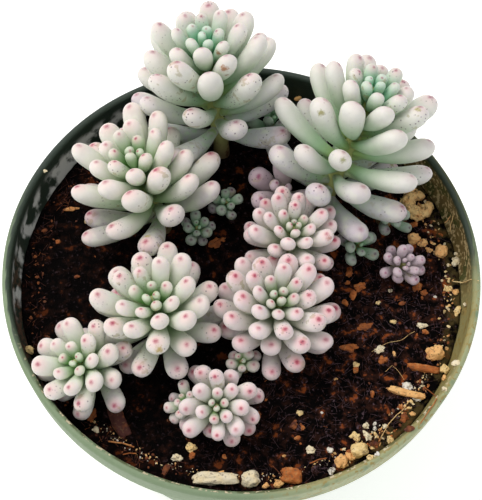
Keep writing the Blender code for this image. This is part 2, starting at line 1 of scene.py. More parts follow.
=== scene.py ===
"""The looks of a potted graptopetalum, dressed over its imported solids, in metres, +Z up.

A turned nursery pot holds peat with crumbs, fibres, grit and bark on it. Each leafy shoot is one
skin: a fleshy stem with powdery, club-shaped leaves, at the places where its solid stands.
"""

import json
import logging
import math
from collections.abc import Iterator
from dataclasses import dataclass
from enum import Enum

import bmesh
import bpy
import numpy as np
from bpy.types import Material, Mesh, Node, NodeSocket, NodeTree, Object
from mathutils import Matrix, Vector, noise
from mathutils.bvhtree import BVHTree

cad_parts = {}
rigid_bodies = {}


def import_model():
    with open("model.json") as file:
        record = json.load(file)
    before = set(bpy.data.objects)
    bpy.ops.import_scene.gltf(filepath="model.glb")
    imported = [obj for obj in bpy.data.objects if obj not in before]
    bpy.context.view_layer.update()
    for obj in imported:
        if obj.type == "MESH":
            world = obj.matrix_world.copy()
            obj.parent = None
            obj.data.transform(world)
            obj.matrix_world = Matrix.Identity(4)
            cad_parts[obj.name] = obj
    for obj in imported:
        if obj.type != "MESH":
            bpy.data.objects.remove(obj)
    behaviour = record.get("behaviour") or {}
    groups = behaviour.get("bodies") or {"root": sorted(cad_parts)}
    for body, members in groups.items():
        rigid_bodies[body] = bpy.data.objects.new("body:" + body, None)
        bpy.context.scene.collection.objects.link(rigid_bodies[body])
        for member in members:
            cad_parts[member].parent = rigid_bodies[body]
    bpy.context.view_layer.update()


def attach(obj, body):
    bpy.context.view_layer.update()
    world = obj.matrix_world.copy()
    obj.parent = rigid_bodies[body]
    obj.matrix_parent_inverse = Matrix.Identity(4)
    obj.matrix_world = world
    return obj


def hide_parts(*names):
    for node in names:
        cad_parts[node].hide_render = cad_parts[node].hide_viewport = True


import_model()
log = logging.getLogger("potted_graptopetalum")

Colour = tuple[float, float, float, float]

# Where a mask starts, where it is full and, unless that is one, how strong it gets
Fade = tuple[float, ...]

# The heights that the pot, the peat and the shoots share
RIM_Z = 0.1080
SOIL_TOP = 0.0950
LIP_INNER = 0.0734
GAP = 0.0003
MM = 0.001
WELD = 0.00001    # points nearer than this become one
TINY = 1e-12

# How high over the peat the balls lie that keep leaves off the stones
CURL_BALL_RISE = 0.0015
LUMP_BALL_RISE = 0.0010

# Places along the ramp of stone and bark colours, from white perlite to red bark
WHITE, CREAM, YELLOW, TAN, ORANGE, RED = 0.0, 0.2, 0.4, 0.6, 0.8, 1.0

# The kinds of node that most trees here use, and the range that a noise mostly keeps to
MATH = "ShaderNodeMath"
VECTOR = "ShaderNodeVectorMath"
RANGE = "ShaderNodeMapRange"
NOISE = "ShaderNodeTexNoise"
STORE = "GeometryNodeStoreNamedAttribute"
READ = "GeometryNodeInputNamedAttribute"
POSITION = "GeometryNodeInputPosition"
DRAW = "FunctionNodeRandomValue"
NOISE_LOW, NOISE_HIGH = 0.25, 0.75

# The kind of input that a plain value stands for
SOCKETS = {bool: "Bool", int: "Int", float: "Float", tuple: "Vector"}


class Stuff(Enum):
    """What a piece is made of, as the record's material slots name it."""

    PLASTIC = "pot_plastic"
    PEAT = "peat"
    LEAF = "leaf"
    PUMICE = "pumice"
    PERLITE = "perlite"
    BARK = "bark"


class Complexion(Enum):
    """How the leaves of a shoot are coloured by light, shade and age."""

    OPEN = "powdery leaf, grown in the open"
    BLUSHED = "powdery leaf, blushed by sun"
    TALL = "mint leaf of the tall rosettes"
    # partly painted shade: besides the greener skin of leaves grown in shade, this skin is a darker copy
    # of the others, bloom, flush and dots too, for shoots that lie in the shade of the big rosettes
    SHADED = "blue-green leaf, grown in shade"
    VIOLET = "violet leaf, stressed by drought"


def linear(code: str) -> Colour:
    """Turns an sRGB colour into a linear one.

    Args:
        code: the colour as "#rrggbb".

    Returns:
        Red, green, blue and an alpha of one.
    """
    shares = [int(code[k:k + 2], 16) / 255 for k in (1, 3, 5)]
    red, green, blue = (c / 12.92 if c <= 0.04045 else ((c + 0.055) / 1.055)**2.4 for c in shares)
    return red, green, blue, 1.0


def add(tree: NodeTree, kind: str, links: dict | tuple = (), **settings: object) -> Node:
    """Adds a node with its settings and links.

    Args:
        tree: the tree that it goes in.
        kind: the node's type.
        links: its inputs, in their order or by name, each with a value, a socket or a node to read.
        settings: the node's own options.

    Returns:
        The new node.
    """
    node = tree.nodes.new(kind)
    for name, value in settings.items():
        setattr(node, name, value)
    for key, value in (links.items() if isinstance(links, dict) else enumerate(links)):
        if isinstance(key, int):
            socket = node.inputs[key]
        else:
            socket = next(s for s in node.inputs if s.name == key and s.enabled)
        if isinstance(value, Node):
            value = next(s for s in value.outputs if s.enabled)
        if isinstance(value, NodeSocket):
            tree.links.new(value, socket)
        else:
            socket.default_value = value
    return node


def new_material(name: str, inputs: dict) -> tuple[Material, NodeTree]:
    """Starts a material.

    Args:
        name: what the real stuff is called.
        inputs: what is the same all over it, by the names of the shader's sockets.

    Returns:
        The material and its node tree.
    """
    made = bpy.data.materials.new(name)
    made.use_nodes = True
    for title, value in inputs.items():
        made.node_tree.nodes["Principled BSDF"].inputs[title].default_value = value
    return made, made.node_tree


def mask(tree: NodeTree, *parts: object) -> object:
    """Multiplies the parts of a mask.

    Args:
        tree: the material's node tree.
        parts: numbers, sockets or nodes, and tuples of what a soft edge reads and its fade.

    Returns:
        The whole mask, as a node or as the one part that it has.
    """
    whole = None
    for part in parts:
        if isinstance(part, tuple):
            value, start, full, most = (*part, 1.0)[:4]
            part = add(tree, RANGE, {"Value": value, "From Min": start, "From Max": full,
                                     "To Max": most}, interpolation_type="SMOOTHSTEP")
        whole = part if whole is None else add(tree, MATH, (whole, part), operation="MULTIPLY")
    return whole


def painted(tree: NodeTree, ground: object, *coats: tuple) -> Node:
    """Lays coats of colour over a ground.

    Args:
        tree: the material's node tree.
        ground: what is under all coats: a colour as "#rrggbb", a socket or a node.
        coats: for each its colour as "#rrggbb" and the parts of the mask that it shows through.

    Returns:
        The node of the finished colour.
    """
    ground = linear(ground) if isinstance(ground, str) else ground
    for code, *parts in coats:
        ground = add(tree, "ShaderNodeMix", {"Factor": mask(tree, *parts), "A": ground,
                                             "B": linear(code)}, data_type="RGBA")
    return ground


def dress(tree: NodeTree, colour: Node, height: object, strength: float, depth: float) -> None:
    """Gives a material its finished colour and its fine relief.

    Args:
        tree: the material's node tree.
        colour: the node of the colour.
        height: what gives the relief its height.
        strength: how strongly the relief shows.
        depth: how deep it is.
    """
    shader = tree.nodes["Principled BSDF"]
    bump = add(tree, "ShaderNodeBump", {"Strength": strength, "Distance": depth, "Height": height})
    tree.links.new(bump.outputs[0], shader.inputs["Normal"])
    tree.links.new(colour.outputs[2], shader.inputs["Base Color"])


def new_tree(name: str, inputs: dict) -> tuple[NodeTree, dict, Node]:
    """Starts a Geometry Nodes tree with named inputs.

    Args:
        name: what the tree makes.
        inputs: for each input its value, or its kind as text where it has none.

    Returns:
        The tree, the input sockets by name as its nodes read them, and the output node.
    """
    tree = bpy.data.node_groups.new(name, "GeometryNodeTree")
    for title, value in inputs.items():
        kind = "NodeSocket" + SOCKETS.get(type(value), value)
        socket = tree.interface.new_socket(title, in_out="INPUT", socket_type=kind)
        if type(value) in SOCKETS:
            socket.default_value = value
    tree.interface.new_socket("Geometry", in_out="OUTPUT", socket_type="NodeSocketGeometry")
    entry = tree.nodes.new("NodeGroupInput")
    leave = tree.nodes.new("NodeGroupOutput")
    return tree, {s.name: s for s in entry.outputs if s.name}, leave


def put_in(name: str, data: bpy.types.ID) -> Object:
    """Puts a mesh, a camera or a light into the scene as an object.

    Args:
        name: the object's name.
        data: the mesh, camera or light.

    Returns:
        The new object.
    """
    thing = bpy.data.objects.new(name, data)
    bpy.context.scene.collection.objects.link(thing)
    return thing


def grown(mesh: Mesh, tree: NodeTree, values: dict) -> Mesh:
    """Runs a tree on a mesh.

    Args:
        mesh: the mesh that the tree starts from, which is removed.
        tree: the tree.
        values: the tree's inputs by name.

    Returns:
        The plain mesh that comes out.
    """
    thing = put_in(mesh.name, mesh)
    modifier = thing.modifiers.new(tree.name, "NODES")
    modifier.node_group = tree
    for item in tree.interface.items_tree:
        if item.item_type == "SOCKET" and item.name in values:
            modifier[item.identifier] = values[item.name]
    result = baked(thing)
    thing.modifiers.clear()
    bpy.data.objects.remove(thing)
    bpy.data.meshes.remove(mesh)
    return result


def baked(thing: Object) -> Mesh:
    """Gives an object's evaluated shape as a mesh of its own.

    Args:
        thing: an object with live modifiers.

    Returns:
        The new mesh.
    """
    graph = bpy.context.evaluated_depsgraph_get()
    graph.update()
    return bpy.data.meshes.new_from_object(thing.evaluated_get(graph))


def mesh_of(bm: bmesh.types.BMesh, name: str) -> Mesh:
    """Closes an edit mesh and gives it as a mesh.

    Args:
        bm: the edit mesh, which is freed.
        name: the mesh's name.

    Returns:
        The mesh.
    """
    mesh = bpy.data.meshes.new(name)
    bm.to_mesh(mesh)
    bm.free()
    return mesh


def marked(mesh: Mesh, columns: dict) -> Mesh:
    """Gives the points of a mesh their attributes.

    Args:
        mesh: the mesh.
        columns: for each attribute a number or a vector for each point.

    Returns:
        The same mesh.
    """
    for name, column in columns.items():
        rows = np.array(column, np.float32)
        kind, key = ("FLOAT", "value") if rows.ndim == 1 else ("FLOAT_VECTOR", "vector")
        mesh.attributes.new(name, kind, "POINT").data.foreach_set(key, rows.ravel())
    return mesh


def points_of(name: str, spots: list, edges: list, columns: dict) -> Mesh:
    """Makes a mesh of points and lines for a tree to start from.

    Args:
        name: the mesh's name.
        spots: its points.
        edges: pairs of points that have a line between them.
        columns: the points' attributes.

    Returns:
        The mesh.
    """
    mesh = bpy.data.meshes.new(name)
    mesh.from_pydata(spots, edges, [])
    return marked(mesh, columns)


def surface_of(*things: Object) -> BVHTree:
    """Joins the faces of some objects into one surface to cast rays on.

    Args:
        things: the objects.

    Returns:
        The surface.
    """
    corners, faces = [], []
    for thing in things:
        faces += [[len(corners) + k for k in face.vertices] for face in thing.data.polygons]
        corners += [vertex.co.copy() for vertex in thing.data.vertices]
    return BVHTree.FromPolygons(corners, faces)


def piece(name: str, mesh: Mesh, stuff: Stuff, *nodes: str) -> Object:
    """Makes a finished piece of the part.

    Args:
        name: the piece's name.
        mesh: its mesh, in place and with its materials.
        stuff: what it is made of; not used.
        nodes: the CAD nodes that it stands for.

    Returns:
        The piece, which rides on the part's one body.
    """
    thing = put_in(name, mesh)
    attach(thing, "root")
    if nodes:
        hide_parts(*nodes)
    log.info("%s: %d faces", name, len(mesh.polygons))
    return thing


def turned(name: str, outline: list[tuple[float, float]], steps: int) -> Mesh:
    """Turns a half outline round the Z axis.

    Args:
        name: the mesh's name.
        outline: points of radius and height, up the inside and down the outside.
        steps: how many stops the turn has.

    Returns:
        A closed mesh.
    """
    bm = bmesh.new()
    verts = [bm.verts.new((radius, 0, height)) for radius, height in outline]
    for first, second in zip(verts, verts[1:]):
        bm.edges.new((first, second))
    thing = put_in(name, mesh_of(bm, name))
    screw = thing.modifiers.new("turn", "SCREW")
    screw.angle = math.tau
    screw.steps = screw.render_steps = steps
    screw.use_merge_vertices = True
    screw.merge_threshold = WELD
    mesh = baked(thing)
    bpy.data.objects.remove(thing)
    return mesh


def unit(rows: np.ndarray) -> np.ndarray:
    """Brings rows of vectors to length one."""
    return rows / (np.linalg.norm(rows, axis=-1, keepdims=True) + TINY)


def rugged(spot: Vector, share: float = 0.5, step: float = 2.3) -> float:
    """Gives a noise with a second one on it, weaker by the share and finer by the step."""
    return noise.noise(spot) + share * noise.noise(spot * step)


def soil_height(x: float, y: float) -> float:
    """Gives the height of the peat's broad relief at a place."""
    return SOIL_TOP + Peat.relief * rugged(Vector((x, y, 0)) / Peat.grain)


@dataclass(frozen=True)
class Viewpoint:
    """Where the picture is taken from: in front of the pot and high over it."""

    elevation: float = math.radians(63.5)
    roll: float = math.radians(2.2)
    distance: float = 0.380
    aim: tuple[float, float, float] = (-0.0005, 0.0046, RIM_Z)
    lens: float = 85.6           # mm
    sensor: float = 36.0         # mm, its long side
    nearest: float = 0.01        # what is nearer than this is cut off
    frame_size: tuple[int, int] = (482, 500)

    def axes(self) -> tuple[Vector, Vector, Vector]:
        """Gives the camera's own directions.

        Returns:
            Right, up and backward, each of length one.
        """
        back = Vector((0, -math.cos(self.elevation), math.sin(self.elevation)))
        right, up = Vector((1, 0, 0)), back.cross(Vector((1, 0, 0)))
        cos, sin = math.cos(self.roll), math.sin(self.roll)
        return right * cos + up * sin, up * cos - right * sin, back

    def place(self) -> Vector:
        """Gives the camera's place."""
        return Vector(self.aim) + self.axes()[2] * self.distance

    def ray(self, u: float, v: float) -> Vector:
        """Gives the way from the camera through a pixel.

        Args:
            u: the pixel's column in the photograph's frame.
            v: its row, counted down from the top.

        Returns:
            A direction of length one.
        """
        right, up, back = self.axes()
        width, height = self.frame_size
        focal = self.lens / self.sensor * max(width, height)
        return (right * (u - width / 2) / focal - up * (v - height / 2) / focal - back).normalized()

    def make(self) -> None:
        """Sets up the scene's camera."""
        data = bpy.data.cameras.new("camera")
        data.lens, data.sensor_width, data.clip_start = self.lens, self.sensor, self.nearest
        camera = put_in("camera", data)
        camera.matrix_world = (Matrix.Translation(self.place())
                               @ Matrix(self.axes()).transposed().to_4x4())
        bpy.context.scene.camera = camera


VIEW = Viewpoint()


@dataclass(frozen=True)
class Scar:
    """A mark on a leaf where its bloom was rubbed or its skin was cut."""

    u: float                     # the pixel where it shows
    v: float
    radius: float
    colour: str


SCARS = [
    Scar(218, 53, 0.0012, "#8a5a1c"),
    Scar(224, 69, 0.0015, "#a8651e"),
    Scar(227, 75, 0.0008, "#8a6238"),
    Scar(204, 72, 0.0009, "#a39a5c"),
    Scar(321, 113, 0.0013, "#97904f"),
    Scar(418, 109, 0.0012, "#a39a4c"),
    Scar(392, 165, 0.0010, "#98945f"),
    Scar(343, 160, 0.0011, "#9c9a66"),
    Scar(147, 236, 0.0012, "#b4a838"),
    Scar(159, 350, 0.0015, "#c2a55a"),
    Scar(329, 238, 0.0012, "#b98379"),
    Scar(193, 88, 0.0012, "#9c9570"),
]


@dataclass(frozen=True)
class LeafSkin:
    """Succulent leaf skin under a bloom of powdery wax, as it grew.

    The wax scatters light, so the leaf looks chalky, and its green shows only where the bloom is
    thin: on the youngest leaves, at the foot of each leaf and where something rubbed it.
    """

    name: str
    young: str                   # the youngest leaves, before their bloom
    mint: str                    # full-grown leaves where their bloom is thin
    powder: str                  # and where it is thick
    under: str                   # its underside: greener where the bloom is thin, and darker as painted shade
    aged: str                    # the oldest leaves
    foot: str                    # where a leaf leaves the stem
    blush: str                   # the flush round the tip
    dot: str                     # the tip itself
    flush: float = 0.50          # how strong the flush is
    dot_size: float = 0.22       # in half widths of the leaf
    flush_size: float = 1.30
    speckled: float = 0.65       # share of specks on the old leaves
    core: str = "#8c2242"        # the middle of the tip
    speck: str = "#5f4d57"
    rubbed: str = "#a09868"
    mottle: float = 0.0030       # cell of the bloom's patches
    speck_cell: float = 0.0013
    grain: float = 0.00045       # drawn coarser than real wax, so that it shows
    relief: float = 0.12
    relief_depth: float = 0.0002

    # Over the leaf's age, from 0 to 1
    ripens: Fade = (0.02, 0.32)
    ages: Fade = (0.60, 1.0, 0.75)
    flushes: Fade = (0.0, 0.12)

    # Over the way from its foot to its tip, and from its lower to its upper face
    ripe_bloom: float = 0.40     # how far down a ripe leaf's bloom comes
    blooms: Fade = (0.48, 1.30)
    foot_reach: Fade = (0.36, 0.04, 0.8)
    shaded_underside_reach: Fade = (0.97, 0.62)
    shaded_underside: Fade = (0.30, -0.75, 0.65)

    # Over the distance from the tip's dot, in half widths, here beside the dot's own size
    flush_full: float = 0.10
    tear: float = 0.24           # how ragged the dot's edge is
    dot_edge: Fade = (0.30, -0.02, 0.82)
    core_edge: Fade = (0.10, -0.06, 0.65)

    # Over the bloom's patches, and over the lot that each leaf draws
    aged_patches: Fade = (0.30, 0.60)
    rubbed_patches: Fade = (0.58, 0.66, 0.55)
    rubbed_lots: Fade = (0.66, 0.76)
    least_red: float = 0.5       # how red the palest tip is
    tone_patches: Fade = (0.3, 0.7)
    tones: Fade = (0.94, 1.03)

    # The specks: how wide they are in their cells, and where they gather
    speck_width: Fade = (0.27, 0.13)
    speck_groups: float = 0.4    # groups to a patch
    speck_gather: Fade = (0.45, 0.55)
    speck_age: float = 0.7       # how much age counts beside the lot
    speck_old: Fade = (0.42, 1.20)

    def make(self) -> Material:
        """Makes the material.

        Returns:
            The material.
        """
        made, tree = new_material(self.name, {
            "Roughness": 0.56, "IOR": 1.45, "Subsurface Weight": 0.12,
            "Subsurface Radius": (0.8, 1.0, 0.5), "Subsurface Scale": 0.0018,
            "Sheen Weight": 0.12, "Sheen Roughness": 0.5})
        place = add(tree, "ShaderNodeTexCoord").outputs["Object"]
        age, lot, along, tip, over = (
            add(tree, "ShaderNodeAttribute", attribute_name=name).outputs["Fac"]
            for name in ("age", "lot", "along", "tip", "over"))
        patch = add(tree, NOISE, {"Vector": place, "Scale": 1 / self.mottle, "Detail": 3})
        torn = add(tree, NOISE, {"Vector": place, "Scale": 1 / self.speck_cell})
        edge = add(tree, MATH, (torn, self.tear, tip), operation="MULTIPLY_ADD")
        dot, core = ((edge, self.dot_size + start, self.dot_size + full, most)
                     for start, full, most in (self.dot_edge, self.core_edge))
        red = add(tree, RANGE, {"Value": lot, "To Min": self.least_red})
        ripe = mask(tree, (age, *self.ripens))
        powdery = add(tree, MATH, (ripe, self.ripe_bloom, along), operation="MULTIPLY_ADD")
        colour = painted(
            tree, self.young, (self.mint, ripe), (self.powder, (powdery, *self.blooms)),
            # partly painted shade: the underside toward the foot takes the under colour, greener for its
            # thin bloom and darker as painted shade
            (self.under, (over, *self.shaded_underside), (along, *self.shaded_underside_reach)),
            (self.foot, (along, *self.foot_reach)),
            (self.aged, (age, *self.ages), (patch, *self.aged_patches)),
            (self.rubbed, (patch, *self.rubbed_patches), (lot, *self.rubbed_lots)),
            (self.blush, (tip, self.flush_size, self.flush_full, self.flush), red,
             (age, *self.flushes)),
            (self.dot, dot, red), (self.core, core, red),
            (self.speck, *self.specks(tree, place, age, lot)))
        tone = add(tree, RANGE, {"Value": patch, "From Min": self.tone_patches[0],
                                 "From Max": self.tone_patches[1], "To Min": self.tones[0],
                                 "To Max": self.tones[1]})
        colour = add(tree, "ShaderNodeMix", {"Factor": 1.0, "A": colour, "B": tone},
                     data_type="RGBA", blend_type="MULTIPLY")
        wax = add(tree, NOISE, {"Vector": place, "Scale": 1 / self.grain, "Detail": 2})
        dress(tree, colour, wax, self.relief, self.relief_depth)
        return made

    def specks(self, tree: NodeTree, place: object, age: object, lot: object) -> list[tuple]:
        """Lays out the dark specks of dirt and old sting marks.

        Args:
            tree: the material's node tree.
            place: the coordinates.
            age: the leaf's age, 0 to 1.
            lot: the leaf's own lot, 0 to 1.

        Returns:
            The parts of their mask.
        """
        cells = add(tree, "ShaderNodeTexVoronoi", {"Vector": place, "Scale": 1 / self.speck_cell})
        groups = add(tree, NOISE, {"Vector": place, "Scale": self.speck_groups / self.mottle})
        old = add(tree, MATH, (age, self.speck_age, lot), operation="MULTIPLY_ADD")
        return [(cells, *self.speck_width), (groups, *self.speck_gather),
                (old, *self.speck_old, self.speckled)]


SKINS = {
    Complexion.OPEN: LeafSkin(
        "powdery leaf", "#5a9a34", "#a3c888", "#ece8df", "#a9c499", "#cabfc4", "#93b060", "#e79fa4",
        "#b23c5c"),
    Complexion.BLUSHED: LeafSkin(
        "blushed leaf", "#6a9440", "#b4c49f", "#efe5e2", "#b7c3ab", "#cbbac0", "#a8b272", "#e59ea4",
        "#bc3856", flush=0.66, dot_size=0.25),
    Complexion.TALL: LeafSkin(
        "mint leaf", "#78c8a0", "#9ac896", "#e8e6dd", "#a4be99", "#c3bcc9", "#98ab58", "#dca2ac",
        "#a04c64", flush=0.44, dot_size=0.19, speckled=0.85, core="#7c2c48"),
    # partly painted shade: a darker copy of the other skins, with darker bloom, flush and dots, for
    # shoots that lie in shade
    Complexion.SHADED: LeafSkin(
        "shaded leaf", "#64a560", "#84b888", "#aabfa8", "#7ea184", "#a3939c", "#6c9468", "#937486",
        "#5b3048", flush=0.46, dot_size=0.24, core="#44203a"),
    Complexion.VIOLET: LeafSkin(
        "violet leaf", "#9a8a8e", "#b0a6a2", "#cdbac1", "#a99ca6", "#b29eaa", "#989a80", "#c5a0ae",
        "#9a4066", flush=0.42, dot_size=0.22, core="#7c2450"),
}


@dataclass(frozen=True)
class StemSkin:
    """Fleshy succulent stem, green where it is young and corky where it is old.

    Its leaf scars and cork make it look dull and uneven.
    """

    name: str = "fleshy stem"
    young: str = "#a3a865"
    old: str = "#7a6a48"
    cork: str = "#5a3a22"
    streak: float = 0.0024
    old_height: float = 0.016    # the old part's height over the peat
    cork_flecks: Fade = (0.52, 0.66)
    relief: float = 0.5
    relief_depth: float = 0.0004

    def make(self) -> Material:
        """Makes the material.

        Returns:
            The material.
        """
        made, tree = new_material(self.name, {"Roughness": 0.6})
        place = add(tree, "ShaderNodeTexCoord").outputs["Object"]
        height = add(tree, "ShaderNodeSeparateXYZ", {"Vector": place}).outputs["Z"]
        fleck = add(tree, NOISE, {"Vector": place, "Scale": 1 / self.streak, "Detail": 4})
        low = mask(tree, (height, SOIL_TOP + self.old_height, SOIL_TOP))
        colour = painted(tree, self.young, (self.old, low),
                         (self.cork, low, (fleck, *self.cork_flecks)))
        dress(tree, colour, fleck, self.relief, self.relief_depth)
        return made


@dataclass
class Shoot:
    """One rooted shoot: where it stands, how it leans and what its leaves are like."""

    name: str
    foot: tuple[float, float]            # where the stem leaves the peat
    crown: tuple[float, float, float]    # the growing tip, its height counted from the peat
    tilt: float                          # degrees off the vertical at the crown
    toward: float                        # way of that tilt, degrees from +X
    leaves: int
    length: float                        # of a full-grown leaf
    width: float
    turn: float                          # way of the youngest leaf, degrees from +X
    hand: int                            # 1 or -1, which way the spiral winds
    leafy: float                         # length of stem that carries leaves
    spread: float                        # degrees between the stem and its oldest leaf
    stem: float                          # stem radius at the foot
    look: Complexion = Complexion.OPEN

    def path(self) -> tuple[np.ndarray, np.ndarray, np.ndarray]:
        """Follows the stem from its foot to its crown.

        Returns:
            Points along it, their tangents and their distance from the foot.
        """
        foot = np.array([*self.foot, SOIL_TOP])
        crown = np.array([self.crown[0], self.crown[1], SOIL_TOP + self.crown[2]])
        tilt, toward = math.radians(self.tilt), math.radians(self.toward)
        axis = np.array([math.sin(tilt) * math.cos(toward), math.sin(tilt) * math.sin(toward),
                         math.cos(tilt)])
        rise = np.linalg.norm(crown - foot)
        low = foot + [0, 0, Growth.upright * rise]
        high = crown - axis * Growth.leaning * rise
        t = np.linspace(0, 1, Growth.samples)[:, None]
        points = ((1 - t)**3 * foot + 3 * (1 - t)**2 * t * low
                  + 3 * (1 - t) * t**2 * high + t**3 * crown)
        tangents = np.gradient(points, axis=0)
        tangents /= np.linalg.norm(tangents, axis=1)[:, None]
        steps = np.linalg.norm(np.diff(points, axis=0), axis=1)
        return points, tangents, np.concatenate([[0], np.cumsum(steps)])

    def radius(self, share: float) -> float:
        """Gives the stem radius at a share of its height, thinner toward the crown."""
        return self.stem * (1 - Growth.taper * share)


@dataclass(frozen=True)
class Growth:
    """How this plant grows. Leaf ages run from 0 at the youngest to 1 at the oldest."""

    # The stem leaves the peat upright, thins toward the crown and ends in a bud
    samples: int = 41
    upright: float = 0.35
    leaning: float = 0.45
    taper: float = 0.38
    bud: float = 0.16
    bud_narrow: float = 0.4
    depth: float = 0.0100

    # Leaves along the golden-angle spiral
    seed: int = 20
    golden: float = math.radians(137.508)
    crowding: float = 1.15
    young_pitch: float = 10
    pitch_curve: float = 0.75
    young_length: float = 0.30
    length_curve: float = 0.9
    length_grown: float = 0.45
    young_width: float = 0.42
    width_grown: float = 0.42
    wither_age: float = 0.8
    wither: float = 0.12
    root: float = 0.35
    young_bend: float = 0.12
    old_bend: float = 0.42
    bend_curve: float = 0.5
    face_lean: float = 0.25
    thin: float = 0.80
    thick: float = 0.88
    around_spread: float = 0.07
    pitch_spread: float = 4
    length_spread: float = 0.05
    width_spread: float = 0.04

    # A leaf's outline: how narrow it starts, and where along it is widest
    foot_share: float = 0.40
    foot_curve: float = 1.5
    tip_curve: float = 2.2
    widest: float = 0.70
    tip_shift: float = 0.6

    # The drawn leaf is fuller toward its tip, whose dot sits a little on the upper side
    full_at: float = 0.76
    tip_round: float = 3.3
    dot_at: float = 0.970
    dot_rise: float = 0.61
    trim: float = 0.990

    # How far leaves keep from one another and from the rest, and how they are brought there
    rooted: float = 0.40
    stem_ball_step: int = 4      # every fourth point of a stem carries a ball
    leaf_gap: float = 0.00060
    press: float = 0.97
    ground_gap: float = 0.0019
    wall_gap: float = 0.0006
    reach: float = 0.008
    rounds: int = 80
    turn_limit: float = 0.20
    turn_share: float = 0.6
    return_share: float = 0.02


STATIONS = np.array([0.30, 0.46, 0.62, 0.78, 0.90])

SHOOTS = [
    Shoot("shoot_back_left", (-0.0085, 0.0485), (-0.0140, 0.0600, 0.042), 8, 100,
          44, 0.0265, 0.0080, 206, -1, 0.034, 100, 0.0028, Complexion.TALL),
    Shoot("shoot_back_right", (0.0265, 0.0275), (0.0385, 0.0440, 0.043), 16, 50,
          45, 0.0258, 0.0082, 147, 1, 0.040, 106, 0.0030, Complexion.TALL),
    Shoot("shoot_left", (-0.0265, 0.0185), (-0.0345, 0.0260, 0.026), 8, 150,
          39, 0.0248, 0.0077, 355, 1, 0.022, 103, 0.0026),
    Shoot("shoot_front_left", (-0.0240, -0.0200), (-0.0262, -0.0195, 0.023), 8, 170,
          37, 0.0202, 0.0069, 6, -1, 0.019, 104, 0.0025),
    Shoot("shoot_centre", (0.0110, -0.0180), (0.0115, -0.0175, 0.022), 6, 334,
          41, 0.0198, 0.0065, 153, 1, 0.019, 100, 0.0025, Complexion.BLUSHED),
    Shoot("shoot_centre_back", (0.0160, 0.0090), (0.0155, 0.0075, 0.021), 3, 320,
          32, 0.0170, 0.0053, 104, -1, 0.015, 94, 0.0022, Complexion.BLUSHED),
    Shoot("shoot_far_left", (-0.0430, -0.0340), (-0.0485, -0.0370, 0.015), 16, 200,
          27, 0.0155, 0.0062, 250, 1, 0.011, 100, 0.0021),
    Shoot("shoot_front", (-0.0040, -0.0420), (-0.0060, -0.0480, 0.012), 12, 252,
          25, 0.0138, 0.0053, 298, -1, 0.010, 100, 0.0021, Complexion.BLUSHED),
    Shoot("shoot_front_offset", (-0.015, -0.042), (-0.016, -0.046, 0.008), 20, 180,
          10, 0.0065, 0.0036, 0, 1, 0.005, 90, 0.0014),
    Shoot("bud_left", (-0.016, 0.016), (-0.015, 0.015, 0.007), 8, 270,
          11, 0.0062, 0.0036, 0, 1, 0.004, 85, 0.0014, Complexion.SHADED),
    Shoot("bud_middle", (-0.007, 0.026), (-0.006, 0.025, 0.007), 10, 300,
          10, 0.0060, 0.0035, 50, 1, 0.004, 88, 0.0014, Complexion.SHADED),
    Shoot("bud_front", (0.002, -0.031), (0.001, -0.031, 0.007), 15, 280,
          10, 0.0065, 0.0038, 0, 1, 0.005, 90, 0.0014),
    Shoot("shoot_right_violet", (0.050, 0.006), (0.052, 0.004, 0.008), 15, 320,
          16, 0.0080, 0.0036, 0, 1, 0.006, 90, 0.0015, Complexion.VIOLET),
    Shoot("shoot_right_green", (0.036, 0.013), (0.038, 0.011, 0.007), 10, 320,
          10, 0.0080, 0.0040, 0, 1, 0.006, 85, 0.0015, Complexion.SHADED),
    Shoot("shoot_right_low", (0.046, 0.024), (0.049, 0.022, 0.007), 10, 320,
          9, 0.0080, 0.0040, 0, 1, 0.006, 85, 0.0015, Complexion.SHADED),
    Shoot("shoot_between", (0.010, 0.057), (0.008, 0.057, 0.008), 10, 60,
          8, 0.0090, 0.0046, 0, 1, 0.005, 85, 0.0015, Complexion.SHADED),
    Shoot("shoot_middle_low", (0.012, 0.032), (0.013, 0.029, 0.009), 15, 150,
          8, 0.0140, 0.0070, 30, 1, 0.005, 80, 0.0018, Complexion.VIOLET),
]


def profile(t: np.ndarray) -> np.ndarray:
    """Gives a leaf's half width, from its narrow foot to its round tip.

    Args:
        t: shares of the leaf's length.

    Returns:
        The half width at each, where the widest is one.
    """
    t = np.asarray(t, float)
    low, wide = Growth.foot_share, Growth.widest
    rise = low + (1 - low) * np.sin(np.clip(t / wide, 0, 1) * math.pi / 2)**Growth.foot_curve
    fall = np.sqrt(1 - np.clip((t - wide) / (1 - wide), 0, 1)**Growth.tip_curve)
    return np.where(t < wide, rise, fall)


